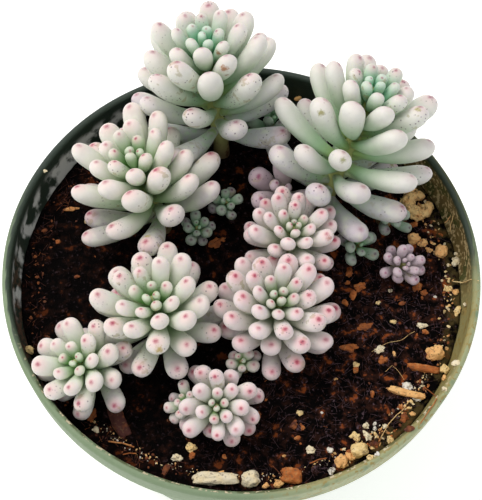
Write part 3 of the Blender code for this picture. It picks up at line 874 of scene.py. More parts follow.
class Planting:
    """Where every leaf of every shoot stands, bent clear of its neighbours."""

    def __init__(self, shoots: list[Shoot], obstacles: list[tuple]) -> None:
        """Sets the leaves out and turns them clear of one another.

        Args:
            shoots: the shoots.
            obstacles: balls of x, y, z and radius that leaves keep clear of.
        """
        self.shoots = shoots
        self.obstacles = np.array(obstacles)
        rng = np.random.default_rng(Growth.seed)
        rows = [row for k, shoot in enumerate(shoots) for row in self.spiral(k, shoot, rng)]
        (self.owner, self.age, self.base, self.aim, self.axis, self.outward,
         self.length, self.width, self.lot) = (np.array(column) for column in zip(*rows))
        self.bend = Growth.young_bend + (Growth.old_bend - Growth.young_bend) * (
            self.age**Growth.bend_curve)
        self.first_aim = self.aim.copy()
        self.relax()

    @staticmethod
    def spiral(index: int, shoot: Shoot, rng: np.random.Generator) -> Iterator[tuple]:
        """Sets out the leaves of one shoot, youngest first.

        Args:
            index: the shoot's place in the list.
            shoot: the shoot.
            rng: the source of its small irregularities.

        Returns:
            For each leaf its shoot, age, root, way, stem way, outward way, length, width and lot.
        """
        points, tangents, arc = shoot.path()
        for i in range(shoot.leaves):
            age = i / (shoot.leaves - 1)
            down = shoot.leafy * age**Growth.crowding
            at = max(arc[-1] - down, 0)
            root = np.array([np.interp(at, arc, points[:, c]) for c in range(3)])
            axis = unit(np.array([np.interp(at, arc, tangents[:, c]) for c in range(3)]))
            east = unit(np.array([1.0, 0, 0]) - axis[0] * axis)
            north = np.cross(axis, east)
            around = math.radians(shoot.turn) + shoot.hand * i * Growth.golden
            around += rng.normal(0, Growth.around_spread)
            outward = math.cos(around) * east + math.sin(around) * north
            pitch = Growth.young_pitch
            pitch += (shoot.spread - Growth.young_pitch) * age**Growth.pitch_curve
            pitch = math.radians(pitch + rng.normal(0, Growth.pitch_spread))
            grown_share = min(1.0, age / Growth.length_grown)**Growth.length_curve
            length = shoot.length * (Growth.young_length + (1 - Growth.young_length) * grown_share)
            length *= 1 - Growth.wither * max(0, age - Growth.wither_age) / (1 - Growth.wither_age)
            length *= 1 + rng.normal(0, Growth.length_spread)
            broad = min(1.0, age / Growth.width_grown)
            width = shoot.width * (Growth.young_width + (1 - Growth.young_width) * broad)
            width *= 1 + rng.normal(0, Growth.width_spread)
            aim = math.cos(pitch) * axis + math.sin(pitch) * outward
            base = root + outward * shoot.radius(1 - down / shoot.leafy) * Growth.root
            yield index, age, base, aim, axis, outward, length, width, rng.random()

    def across(self, rows: np.ndarray) -> np.ndarray:
        """Takes out of each row the part that runs along its leaf."""
        return rows - (rows * self.aim).sum(1)[:, None] * self.aim

    def upper(self) -> np.ndarray:
        """Gives the way that each leaf's upper face looks."""
        return unit(self.across(self.axis) - Growth.face_lean * self.across(self.outward))

    def centres(self, shares: np.ndarray) -> np.ndarray:
        """Gives points on each leaf's middle line, which curves up toward its tip.

        Args:
            shares: where they are, in shares of a leaf's length.

        Returns:
            The points by leaf and share.
        """
        t = np.asarray(shares)[None, :, None]
        length = self.length[:, None, None]
        rise = self.bend[:, None, None] * t**2 * self.upper()[:, None, :]
        return self.base[:, None, :] + length * (t * self.aim[:, None, :] + rise)

    def leaf_pushes(self, spots: np.ndarray, half: np.ndarray, push: np.ndarray) -> None:
        """Pushes leaves apart: clear of other shoots, and only lightly pressed within one.

        Args:
            spots: points along each leaf.
            half: the leaf's half width at each.
            push: the pushes, which are added to.
        """
        same = self.owner[self.left] == self.owner[self.right]
        away = spots[self.left][:, :, None] - spots[self.right][:, None]
        apart = np.linalg.norm(away, axis=3) + TINY
        both = half[self.left][:, :, None] + half[self.right][:, None]
        need = np.where(same[:, None, None], Growth.press * both, both + Growth.leaf_gap)
        rooted = ((STATIONS[None, :, None] < Growth.rooted)
                  | (STATIONS[None, None, :] < Growth.rooted))
        close = (need > apart) & ~(same[:, None, None] & rooted)
        over = np.where(close, need - apart, 0)
        move = away / apart[..., None] * over[..., None] * 0.5
        np.add.at(push, (self.left,), move.sum(2))
        np.add.at(push, (self.right,), -move.sum(1))

    def ball_pushes(self, spots: np.ndarray, half: np.ndarray, push: np.ndarray) -> None:
        """Pushes leaves off the other shoots' stems and off the stones.

        Args:
            spots: points along each leaf.
            half: the leaf's half width at each.
            push: the pushes, which are added to.
        """
        away = spots[:, :, None] - self.balls[None, None]
        apart = np.linalg.norm(away, axis=3) + TINY
        need = half[:, :, None] + self.ball_radii[None, None] + Growth.leaf_gap
        other = self.owner[:, None, None] != self.ball_owner[None, None]
        over = np.where(other & (need > apart), need - apart, 0)
        push += (away / apart[..., None] * over[..., None]).sum(2)

    @staticmethod
    def pot_pushes(spots: np.ndarray, half: np.ndarray, push: np.ndarray) -> None:
        """Lifts leaves off the peat, and off or inside the pot's lip.

        Args:
            spots: points along each leaf.
            half: the leaf's half width at each.
            push: the pushes, which are added to.
        """
        push[..., 2] += np.clip(SOIL_TOP + Growth.ground_gap - (spots[..., 2] - half), 0, None)
        out = np.hypot(spots[..., 0], spots[..., 1])
        inside = LIP_INNER - Growth.wall_gap - half - out
        above = (spots[..., 2] - half) - (RIM_Z + Growth.wall_gap)
        caught = (inside < 0) & (above < 0)
        lift = caught & (-above < -inside)
        push[..., 2] += np.where(lift, -above, 0)
        radial = spots[..., :2] / (out[..., None] + TINY)
        push[..., :2] += np.where((caught & ~lift)[..., None], radial * inside[..., None], 0)

    def relax(self) -> None:
        """Turns each leaf about its root, a little each round, until none crosses a neighbour."""
        reach = np.linalg.norm(self.base[:, None] - self.base[None], axis=2)
        near = reach < self.length[:, None] + self.length[None] + Growth.reach
        self.left, self.right = np.where(np.triu(near, 1))
        stems = [(point, shoot.radius(q / (Growth.samples - 1)), k)
                 for k, shoot in enumerate(self.shoots)
                 for q, point in enumerate(shoot.path()[0]) if q % Growth.stem_ball_step == 0]
        stones = [(ball[:3], ball[3], -1) for ball in self.obstacles]
        self.balls, self.ball_radii, self.ball_owner = (
            np.array(column) for column in zip(*(stems + stones)))
        half = self.width[:, None] / 2 * profile(STATIONS)[None]
        lever = STATIONS[None, :] * self.length[:, None]
        for _ in range(Growth.rounds):
            spots = self.centres(STATIONS)
            push = np.zeros_like(spots)
            self.leaf_pushes(spots, half, push)
            self.ball_pushes(spots, half, push)
            self.pot_pushes(spots, half, push)
            turn = self.across((push / lever[..., None]).sum(1))
            size = np.linalg.norm(turn, axis=1, keepdims=True) + TINY
            turn *= np.minimum(1, Growth.turn_limit / size)
            back = Growth.return_share * (self.first_aim - self.aim)
            self.aim = unit(self.aim + Growth.turn_share * turn + back)


@dataclass
class Leafage:
    """Grows each shoot's stem and leaves from a skeleton, with one Geometry Nodes tree."""

    plan: Planting
    large: float = 0.012                       # leaves longer than this get the finer mesh
    fine_mesh: tuple[int, int] = (26, 20)      # sides and rings of a leaf
    coarse_mesh: tuple[int, int] = (18, 14)
    stem_sides: int = 20
    ripple: float = 0.00016
    ripple_size: float = 0.0055
    ripple_range: tuple[float, float] = (-1.0, 0.3)

    def __post_init__(self) -> None:
        """Makes the tree and the skins."""
        self.upper = self.plan.upper()
        self.tree = self.make_tree()
        self.stem_skin = StemSkin().make()
        self.skins = {look: skin.make() for look, skin in SKINS.items()}

    def make_tree(self) -> NodeTree:
        """Makes the tree: loose points become leaves, and the line with edges the stem.

        Returns:
            The tree.
        """
        tree, given, leave = new_tree("leafy shoot", {
            "Skeleton": "Geometry",
            "Leaf Sides": self.fine_mesh[0],
            "Leaf Rings": self.fine_mesh[1],
            "Stem Sides": self.stem_sides,
            "Foot Share": Growth.foot_share,
            "Foot Curve": Growth.foot_curve,
            "Widest": Growth.full_at,
            "Tip Round": Growth.tip_round,
            "Dot At": Growth.dot_at,
            "Dot Rise": Growth.dot_rise,
            "Tip Shift": Growth.tip_shift,
            "Ripple": self.ripple,
            "Ripple Size": self.ripple_size,
            "Leaf Skin": "Material",
            "Stem Skin": "Material",
        })
        root, aim, upper = (add(tree, READ, {"Name": name}, data_type="FLOAT_VECTOR")
                            for name in ("root", "aim", "upper"))
        length, half, thick, bend, t, across, over, radius, is_leaf = (
            add(tree, READ, {"Name": name})
            for name in ("length", "half", "thick", "bend", "along", "across", "over", "radius",
                         "leaf"))

        # The plain leaf: a ball whose height becomes the share along the leaf
        kept = add(tree, "GeometryNodeMeshUVSphere", {"Segments": given["Leaf Sides"],
                                                      "Rings": given["Leaf Rings"], "Radius": 1.0})
        spot = add(tree, "ShaderNodeSeparateXYZ", (add(tree, POSITION),))
        up = add(tree, MATH, (spot.outputs["Z"], 0.5, 0.5), operation="MULTIPLY_ADD", use_clamp=True)
        along = add(tree, MATH, (up, given["Tip Shift"]), operation="POWER")
        flat = add(tree, "ShaderNodeCombineXYZ", (spot.outputs["X"], spot.outputs["Y"]))
        ring = add(tree, "ShaderNodeSeparateXYZ", (add(tree, VECTOR, (flat,), operation="NORMALIZE"),))
        for name, value in (("along", along), ("across", ring.outputs["X"]),
                            ("over", ring.outputs["Y"])):
            kept = add(tree, STORE, {"Geometry": kept, "Name": name, "Value": value})
        set_out = add(tree, "GeometryNodeInstanceOnPoints", {
            "Points": given["Skeleton"], "Selection": is_leaf, "Instance": kept})
        loose = add(tree, "GeometryNodeRealizeInstances", (set_out,))

        # Half width along the leaf: a rise from its foot times a round fall to its tip
        share = add(tree, MATH, (t, given["Widest"]), operation="DIVIDE", use_clamp=True)
        quarter = add(tree, MATH, (share, math.pi / 2), operation="MULTIPLY")
        sine = add(tree, MATH, (quarter,), operation="SINE")
        curve = add(tree, MATH, (sine, given["Foot Curve"]), operation="POWER")
        rise = add(tree, RANGE, {"Value": curve, "To Min": given["Foot Share"]})
        beyond = add(tree, RANGE, {"Value": t, "From Min": given["Widest"]})
        drop = add(tree, MATH, (beyond, given["Tip Round"]), operation="POWER")
        left = add(tree, MATH, (1.0, drop), operation="SUBTRACT", use_clamp=True)
        fall = add(tree, MATH, (left,), operation="SQRT")
        swell = add(tree, MATH, (rise, fall), operation="MULTIPLY")

        # The middle line, bent up toward the tip, and the cross directions on it
        square = add(tree, MATH, (t, t), operation="MULTIPLY")
        arch = add(tree, MATH, (square, bend), operation="MULTIPLY")
        lift = add(tree, VECTOR, {"Vector": upper, "Scale": arch}, operation="SCALE")
        run = add(tree, VECTOR, (aim, t, lift), operation="MULTIPLY_ADD")
        middle = add(tree, VECTOR, (run, length, root), operation="MULTIPLY_ADD")
        slope = add(tree, MATH, (t, bend), operation="MULTIPLY")
        slope = add(tree, MATH, (slope, 2.0), operation="MULTIPLY")
        tangent = add(tree, VECTOR, (upper, slope, aim), operation="MULTIPLY_ADD")
        tangent = add(tree, VECTOR, (tangent,), operation="NORMALIZE")
        side = add(tree, VECTOR, (aim, upper), operation="CROSS_PRODUCT")
        crown = add(tree, VECTOR, (side, tangent), operation="CROSS_PRODUCT")

        # The skin: the middle line plus the ring
        wide = add(tree, MATH, (across, half), operation="MULTIPLY")
        wide = add(tree, MATH, (wide, swell), operation="MULTIPLY")
        deep = add(tree, MATH, (over, thick), operation="MULTIPLY")
        deep = add(tree, MATH, (deep, swell), operation="MULTIPLY")
        skin = add(tree, VECTOR, (side, wide, middle), operation="MULTIPLY_ADD")
        skin = add(tree, VECTOR, (crown, deep, skin), operation="MULTIPLY_ADD")
        shaped = add(tree, "GeometryNodeSetPosition", {"Geometry": loose, "Position": skin})
        shaped = add(tree, "GeometryNodeFlipFaces", (shaped,))

        # How far each point is from the dot at the leaf's tip, in half widths
        lean = add(tree, MATH, (bend, given["Dot At"]), operation="MULTIPLY")
        peak = add(tree, VECTOR, (upper, lean, aim), operation="MULTIPLY_ADD")
        reach = add(tree, MATH, (length, given["Dot At"]), operation="MULTIPLY")
        peak = add(tree, VECTOR, (peak, reach, root), operation="MULTIPLY_ADD")
        lean = add(tree, MATH, (lean, -2.0), operation="MULTIPLY")
        face = add(tree, VECTOR, (aim, lean, upper), operation="MULTIPLY_ADD")
        face = add(tree, VECTOR, (face,), operation="NORMALIZE")
        high = add(tree, MATH, (thick, given["Dot Rise"]), operation="MULTIPLY")
        peak = add(tree, VECTOR, (face, high, peak), operation="MULTIPLY_ADD")
        off = add(tree, VECTOR, (add(tree, POSITION), peak), operation="DISTANCE")
        off = add(tree, MATH, (off, half), operation="DIVIDE")
        shaped = add(tree, STORE, {"Geometry": shaped, "Name": "tip", "Value": off})

        # The soft unevenness of a fleshy leaf
        where = add(tree, VECTOR, (add(tree, POSITION), given["Ripple Size"]), operation="DIVIDE")
        wave = add(tree, NOISE, {"Vector": where, "Scale": 1.0, "Detail": 1.0})
        wave = add(tree, RANGE, {
            "Value": wave, "From Min": NOISE_LOW, "From Max": NOISE_HIGH,
            "To Min": self.ripple_range[0], "To Max": self.ripple_range[1]})
        wave = add(tree, MATH, (wave, given["Ripple"]), operation="MULTIPLY")
        wave = add(tree, VECTOR, {"Vector": add(tree, "GeometryNodeInputNormal"), "Scale": wave},
                   operation="SCALE")
        shaped = add(tree, "GeometryNodeSetPosition", {"Geometry": shaped, "Offset": wave})
        leaves = add(tree, "GeometryNodeSetMaterial", {"Geometry": shaped,
                                                       "Material": given["Leaf Skin"]})

        # The stem follows the line of edges
        line = add(tree, "GeometryNodeMeshToCurve", (given["Skeleton"],))
        circle = add(tree, "GeometryNodeCurvePrimitiveCircle", {"Resolution": given["Stem Sides"],
                                                                "Radius": 1.0})
        stem = add(tree, "GeometryNodeCurveToMesh", {
            "Curve": line, "Profile Curve": circle.outputs["Curve"], "Scale": radius,
            "Fill Caps": True})
        stem = add(tree, "GeometryNodeSetMaterial", {"Geometry": stem, "Material": given["Stem Skin"]})
        whole = add(tree, "GeometryNodeJoinGeometry")
        tree.links.new(leaves.outputs[0], whole.inputs[0])
        tree.links.new(stem.outputs[0], whole.inputs[0])
        whole = add(tree, "GeometryNodeSetShadeSmooth", (whole,))
        tree.links.new(whole.outputs[0], leave.inputs[0])
        return tree

    def skeleton(self, k: int) -> Mesh:
        """Makes a shoot's skeleton.

        Args:
            k: the shoot's place in the list.

        Returns:
            A mesh with the stem's line and a loose point for each leaf, and their attributes.
        """
        plan, shoot = self.plan, self.plan.shoots[k]
        line = shoot.path()[0]
        foot = np.array([[*shoot.foot, SOIL_TOP - Growth.depth]])
        bud = line[-1:] + unit(line[-1:] - line[-2:-1]) * shoot.length * Growth.bud
        stem = np.concatenate([foot, line, bud])
        radii = [shoot.stem, *(shoot.radius(q / (Growth.samples - 1)) for q in range(len(line))),
                 shoot.stem * Growth.bud_narrow]
        own = np.where(plan.owner == k)[0]
        half = plan.width[own] / 2
        thick = half * (Growth.thin + (Growth.thick - Growth.thin) * plan.lot[own])
        leaf_numbers = {"leaf": np.ones(len(own)), "age": plan.age[own], "half": half, "thick": thick,
                        "length": plan.length[own] * Growth.trim, "bend": plan.bend[own],
                        "lot": plan.lot[own]}
        columns = {name: [*np.zeros(len(stem)), *values] for name, values in leaf_numbers.items()}
        columns["radius"] = [*radii, *np.zeros(len(own))]
        for name, rows in (("root", plan.base), ("aim", plan.aim), ("upper", self.upper)):
            columns[name] = [*stem, *rows[own]]
        edges = [(q, q + 1) for q in range(len(stem) - 1)]
        return points_of(shoot.name, [*stem, *plan.base[own]], edges, columns)

    def grow(self, k: int) -> Object:
        """Grows one shoot over its solid.

        Args:
            k: the shoot's place in the list.

        Returns:
            The finished piece.
        """
        shoot = self.plan.shoots[k]
        sides, rings = self.fine_mesh if shoot.length > self.large else self.coarse_mesh
        mesh = grown(self.skeleton(k), self.tree, {
            "Leaf Sides": sides, "Leaf Rings": rings, "Leaf Skin": self.skins[shoot.look],
            "Stem Skin": self.stem_skin})
        return piece(shoot.name + "_skin", mesh, Stuff.LEAF, shoot.name)


@dataclass(frozen=True)
class PotPlastic:
    """Recycled polypropylene, injection moulded, dark green where the sun doesn't reach.

    The sun chalked its lip to a dull sage. Hard water left pale scale on the inner wall and a thick
    crust on the lip at the front right, and wet peat left an ochre film on the right. The dark green
    is also painted over the lip's inner half, away from the front, as painted shade.
    """

    name: str = "moulded polypropylene"
    # the plastic's own dark green, also painted over the lip's inner half as painted shade
    fresh_and_shade: str = "#28352b"
    sage: str = "#7b8d6c"
    pale: str = "#8a9a7b"
    crust: str = "#a1a67c"
    ochre: str = "#97803f"
    scale: str = "#dededa"
    dirt: str = "#5f4636"
    film: str = "#735f34"
    moss: str = "#45481d"
    grit: str = "#bda77a"
    crumb: str = "#cdbf9f"
    patch_size: float = 0.0060
    speck_size: float = 0.0015
    relief: float = 0.4
    relief_depth: float = 0.0005

    # Across the pot: along X, along Y, and toward the crust
    left: Fade = (0.005, -0.040)
    right: Fade = (0.020, 0.050)
    sunny: Fade = (0.034, -0.014)
    scale_at: Fade = (-0.022, -0.008)
    dirt_at: Fade = (0.012, -0.010)
    shady: Fade = (-0.052, -0.020)
    crumbs_at: Fade = (-0.020, -0.050)
    crust_way: float = math.radians(-40)
    crust_at: Fade = (0.050, 0.068)

    # Down from the lip's top
    crust_down: Fade = (0.030, 0.014)
    wall_down: Fade = (0.0010, 0.0030)
    stains_down: Fade = (0.0030, 0.0075)
    edge_down: Fade = (0.0, 0.00014)
    edge_up: Fade = (0.0032, 0.0020)

    # Over the patches, over the specks and over the crust, and the shares of plain coats
    pale_patches: Fade = (0.42, 0.66, 0.3)
    scale_patches: Fade = (0.44, 0.58, 0.92)
    moss_patches: Fade = (0.52, 0.60)
    crust_patches: Fade = (0.30, 0.48)
    edge_patches: Fade = (0.44, 0.54, 0.7)
    dirt_specks: Fade = (0.42, 0.54)
    grit_specks: Fade = (0.53, 0.60)
    ochre_specks: Fade = (0.54, 0.62, 0.8)
    crumb_specks: Fade = (0.55, 0.60)
    shade_beside: Fade = (0.5, 0.0, 0.92)
    wall_beside: Fade = (1.0, 0.4)
    moss_share: float = 0.8
    film_share: float = 0.85
    ochre_share: float = 0.6

    def make(self, rim: float) -> Material:
        """Makes the material.

        Args:
            rim: the height of the lip's top.

        Returns:
            The material.
        """
        made, tree = new_material(self.name, {"Roughness": 0.58, "IOR": 1.49})
        place = add(tree, "ShaderNodeTexCoord").outputs["Object"]
        x, y, z = add(tree, "ShaderNodeSeparateXYZ", {"Vector": place}).outputs
        inside = add(tree, "ShaderNodeAttribute", attribute_name="inside").outputs["Fac"]
        patch = add(tree, NOISE, {"Vector": place, "Scale": 1 / self.patch_size, "Detail": 5})
        speck = add(tree, NOISE, {"Vector": place, "Scale": 1 / self.speck_size, "Detail": 3})
        down = add(tree, MATH, (rim, z), operation="SUBTRACT")
        way = (math.cos(self.crust_way), math.sin(self.crust_way), 0)
        out = add(tree, VECTOR, (place, way), operation="DOT_PRODUCT").outputs["Value"]
        caked = mask(tree, (out, *self.crust_at), (down, *self.crust_down))
        sunny, right = mask(tree, (y, *self.sunny)), mask(tree, (x, *self.right))
        wall = mask(tree, inside, (down, *self.wall_down))
        stained = mask(tree, wall, (x, *self.left), (down, *self.stains_down))
        edge = mask(tree, (down, *self.edge_down), (down, *self.edge_up), inside,
                    (y, *self.crumbs_at))
        colour = painted(
            tree, self.fresh_and_shade, (self.moss, right, self.moss_share), (self.sage, sunny),
            (self.pale, sunny, (patch, *self.pale_patches)),
            # painted shade: the lip's inner half, away from the front and the crust, is painted back to
            # the dark green; on the inner wall below it the dark green is the plastic's own
            (self.fresh_and_shade, inside, (y, *self.shady), (caked, *self.shade_beside)),
            (self.fresh_and_shade, wall, (caked, *self.wall_beside)),
            (self.dirt, stained, (y, *self.dirt_at), (speck, *self.dirt_specks)),
            (self.scale, stained, (y, *self.scale_at), (patch, *self.scale_patches)),
            (self.film, wall, right, self.film_share),
            (self.moss, wall, right, (patch, *self.moss_patches)),
            (self.grit, wall, right, (speck, *self.grit_specks)),
            (self.crust, caked, (patch, *self.crust_patches)),
            (self.ochre, caked, (speck, *self.ochre_specks)),
            (self.ochre, caked, inside, self.ochre_share),
            (self.moss, edge, (patch, *self.edge_patches)),
            (self.crumb, edge, (speck, *self.crumb_specks)))
        dress(tree, colour, speck, self.relief, self.relief_depth)
        return made


@dataclass
class Pot:
    """The round nursery pot with its rolled lip, collar and drained floor."""

    lip_radius: float = 0.0760
    collar_height: float = 0.0115
    collar_step: float = 0.0016
    collar_draft: float = 0.0005
    collar_chamfer: float = 0.0006
    bead_points: int = 13
    wall_top: float = 0.0736
    base: float = 0.0540
    wall: float = 0.0013
    floor: float = 0.0016
    foot_width: float = 0.0030
    channel_rise: float = 0.0025
    channel_in: float = 0.0392
    channel_slope: float = 0.0016
    channel_draft: float = 0.0008
    drain_holes: int = 6
    drain_radius: float = 0.0040
    drain_sides: int = 32
    drain_cut: float = 0.020
    steps: int = 192
    sharp: float = math.radians(34)      # edges bent more than this stay sharp

    def wall_radius(self, height: float) -> float:
        """Gives the outer radius of the plain wall at a height."""
        return self.base + (self.wall_top - self.base) * height / (RIM_Z - self.collar_height)

    def bead(self) -> Iterator[tuple[float, float]]:
        """Rounds the rolled lip in a half circle, from its inner side to its outer side.

        Returns:
            Points of radius and height.
        """
        middle, radius = (LIP_INNER + self.lip_radius) / 2, (self.lip_radius - LIP_INNER) / 2
        for k in range(self.bead_points):
            way = math.pi * (1 - k / (self.bead_points - 1))
            yield middle + radius * math.cos(way), RIM_Z - radius + radius * math.sin(way)

    def inner_line(self) -> list[tuple[float, float]]:
        """Draws the half outline from the floor's middle up the inside to the lip.

        Returns:
            Points of radius and height.
        """
        lift = self.channel_rise + self.floor
        ledge = RIM_Z - self.collar_height - self.collar_step
        return [(0, self.floor), (self.channel_in - self.channel_slope, self.floor),
                (self.channel_in, lift), (self.wall_radius(lift) - self.wall, lift),
                (self.wall_radius(ledge) - self.wall, ledge),
                (LIP_INNER, ledge + 2 * self.collar_step)]

    def outer_line(self) -> list[tuple[float, float]]:
        """Draws the half outline from the lip down the outside and under the floor.

        Returns:
            Points of radius and height.
        """
        step = RIM_Z - self.collar_height
        out = self.base - self.foot_width
        return [(self.lip_radius - self.collar_draft, step + self.collar_chamfer),
                (self.wall_radius(step), step), (self.base, 0), (out, 0),
                (out - self.channel_draft, self.channel_rise),
                (self.channel_in + self.channel_draft, self.channel_rise),
                (self.channel_in - self.channel_draft, 0), (0, 0)]

    def make(self) -> Object:
        """Makes the pot, turned and drilled.

        Returns:
            The finished piece.
        """
        mesh = turned("pot", [*self.inner_line(), *self.bead(), *self.outer_line()], self.steps)
        blank = put_in("pot_blank", mesh)
        cutters = bpy.data.collections.new("drain_cutters")
        bpy.context.scene.collection.children.link(cutters)
        middle = (self.base - self.foot_width + self.channel_in) / 2
        for k in range(self.drain_holes):
            bm = bmesh.new()
            bmesh.ops.create_cone(bm, cap_ends=True, segments=self.drain_sides,
                                  radius1=self.drain_radius, radius2=self.drain_radius,
                                  depth=self.drain_cut)
            hole = bpy.data.objects.new("drain_hole", mesh_of(bm, "drain_hole"))
            cutters.objects.link(hole)
            way = math.tau * (k + 0.5) / self.drain_holes
            hole.location = (middle * math.cos(way), middle * math.sin(way), self.channel_rise)
        cut = blank.modifiers.new("drain", "BOOLEAN")
        cut.operation, cut.operand_type, cut.collection = "DIFFERENCE", "COLLECTION", cutters
        cut.solver = "EXACT"
        drilled = baked(blank)
        for thing in [*cutters.objects, blank]:
            bpy.data.objects.remove(thing)
        bpy.data.collections.remove(cutters)
        self.mark_inside(drilled)
        drilled.shade_smooth()
        drilled.set_sharp_from_angle(angle=self.sharp)
        drilled.materials.append(PotPlastic().make(RIM_Z))
        return piece("pot_shell", drilled, Stuff.PLASTIC, "pot")

    def mark_inside(self, mesh: Mesh) -> None:
        """Marks the points of the inner wall, which the peat and hard water stained.

        Args:
            mesh: the pot's mesh, which gets the attribute "inside".
        """
        layer = mesh.attributes.new("inside", "FLOAT", "POINT")
        for vertex, mark in zip(mesh.vertices, layer.data):
            out = math.hypot(vertex.co.x, vertex.co.y)
            middle = self.wall_radius(vertex.co.z) - self.wall / 2
            if vertex.co.z > RIM_Z - self.collar_height + self.collar_chamfer / 2:
                middle = (LIP_INNER + self.lip_radius) / 2
            mark.value = 1.0 if out < middle and vertex.co.z > self.floor / 2 else 0.0


@dataclass(frozen=True)
class PeatEarth:
    """Wet sphagnum peat with fine bark, sieved and pressed in by hand.

    It is nearly black and matt. Toward the right it shows more purple-brown and grey fibres, and a
    film of algae makes its edge olive at the right. A crumb's own tint says how dry it is.
    """

    name: str = "sphagnum peat"
    wet: str = "#050303"
    brown: str = "#382019"
    dry: str = "#66525a"
    rust: str = "#934a22"
    algae: str = "#4e4427"
    crumb: float = 0.0032
    dust: float = 0.0011
    relief: float = 0.9
    relief_depth: float = 0.0006

    # Along X the peat shows fewer brown, grey and rust flecks toward the left, so it is darker there, and
    # algae grow on its right edge
    darkest_x: float = -0.015
    lightest_x: float = 0.035
    least_flecks: float = 0.30
    algae_at: Fade = (0.025, 0.050)
    algae_out: Fade = (0.0664, 0.0692)

    # Over the crumbs and the dust, and how much a crumb's own tint counts
    brown_crumbs: Fade = (0.45, 0.62, 0.7)
    rust_crumbs: Fade = (0.60, 0.68, 0.85)
    algae_crumbs: Fade = (0.42, 0.58, 0.8)
    dry_dust: Fade = (0.60, 0.78, 0.8)
    brown_tint: float = 0.8
    dry_tint: float = 0.12

    def make(self) -> Material:
        """Makes the material.

        Returns:
            The material.
        """
        made, tree = new_material(self.name, {"Roughness": 0.92, "Specular IOR Level": 0.06})
        place = add(tree, "ShaderNodeTexCoord").outputs["Object"]
        tint = add(tree, "ShaderNodeAttribute", attribute_name="tint").outputs["Fac"]
        x, y, _ = add(tree, "ShaderNodeSeparateXYZ", {"Vector": place}).outputs
        broad = add(tree, NOISE, {"Vector": place, "Scale": 1 / self.crumb, "Detail": 5})
        fine = add(tree, NOISE, {"Vector": place, "Scale": 1 / self.dust, "Detail": 3})
        flat = add(tree, "ShaderNodeCombineXYZ", (x, y))
        out = add(tree, VECTOR, (flat,), operation="LENGTH").outputs["Value"]
        # fewer brown, grey and rust flecks toward the left, so the peat is darker there
        side = add(tree, RANGE, {"Value": x, "From Min": self.darkest_x, "From Max": self.lightest_x,
                                 "To Min": self.least_flecks})
        brown = add(tree, MATH, (tint, self.brown_tint, mask(tree, (broad, *self.brown_crumbs))),
                    operation="MULTIPLY_ADD", use_clamp=True)
        dry = add(tree, MATH, (tint, self.dry_tint, fine), operation="MULTIPLY_ADD")
        colour = painted(
            tree, self.wet, (self.brown, brown, side), (self.dry, (dry, *self.dry_dust), side),
            (self.rust, (broad, *self.rust_crumbs), side),
            (self.algae, (out, *self.algae_out), (x, *self.algae_at), (broad, *self.algae_crumbs)))
        dress(tree, colour, fine, self.relief, self.relief_depth)
        return made


@dataclass(frozen=True)
class Zone:
    """Part of the peat's top where one kind of litter gathers."""

    name: str
    start: float = 0.0           # degrees from +X
    sweep: float = 360.0
    inner: float = 0.0
    outer: float = 0.0698

    def holds(self, x: float, y: float) -> bool:
        """Says whether a place lies in the zone."""
        way = (math.degrees(math.atan2(y, x)) - self.start) % 360
        return way <= self.sweep and self.inner <= math.hypot(x, y) <= self.outer


EVERYWHERE = Zone("everywhere")
DRY_SIDE = Zone("dry_side", -100, 160, 0.012)
LEFT_FOOT = Zone("left_foot", 125, 130, 0.0640)
FRONT_FOOT = Zone("front_foot", 205, 130, 0.0650, 0.0676)
RIGHT_FOOT = Zone("right_foot", -62, 106, 0.0652)


@dataclass
class Peat:
    """The peat that fills the pot, with its crumbly top."""

    relief: float = 0.0009
    grain: float = 0.0085
    fine_relief: float = 0.00045
    fine_grain: float = 0.0019
    fine_share: float = 0.6
    fine_step: float = 2.1
    rings: int = 84
    steps: int = 320

    def make(self, pot: Pot, earth: Material) -> Object:
        """Makes the peat.

        Args:
            pot: the pot that it fills.
            earth: its material.

        Returns:
            The finished piece.
        """
        low = pot.channel_rise + pot.floor + GAP
        brim = pot.wall_radius(SOIL_TOP) - pot.wall - GAP
        outline = [(brim * k / self.rings, SOIL_TOP) for k in range(self.rings + 1)]
        outline += [(pot.wall_radius(low) - pot.wall - GAP, low), (pot.channel_in - GAP, low),
                    (pot.channel_in - pot.channel_slope - GAP, pot.floor + GAP),
                    (0, pot.floor + GAP)]
        mesh = turned("peat", outline, self.steps)
        for vertex in mesh.vertices:
            if vertex.co.z > SOIL_TOP - GAP:
                spot = Vector((vertex.co.x, vertex.co.y, 0)) / self.fine_grain
                fine = rugged(spot, self.fine_share, self.fine_step)
                vertex.co.z = soil_height(vertex.co.x, vertex.co.y) + self.fine_relief * fine
        mesh.shade_smooth()
        mesh.materials.append(earth)
        return piece("peat_fill", mesh, Stuff.PEAT, "soil")

    def top_of(self, fill: Object, zone: Zone) -> Mesh:
        """Copies the part of the peat's top that lies in a zone.

        Args:
            fill: the whole peat.
            zone: the zone.

        Returns:
            The faces of that part.
        """
        bm = bmesh.new()
        bm.from_mesh(fill.data)
        low = SOIL_TOP - 4 * self.relief
        middles = ((face, face.calc_center_median()) for face in bm.faces)
        away = [face for face, spot in middles if spot.z < low or not zone.holds(spot.x, spot.y)]
        bmesh.ops.delete(bm, geom=away, context="FACES")
        return mesh_of(bm, zone.name)


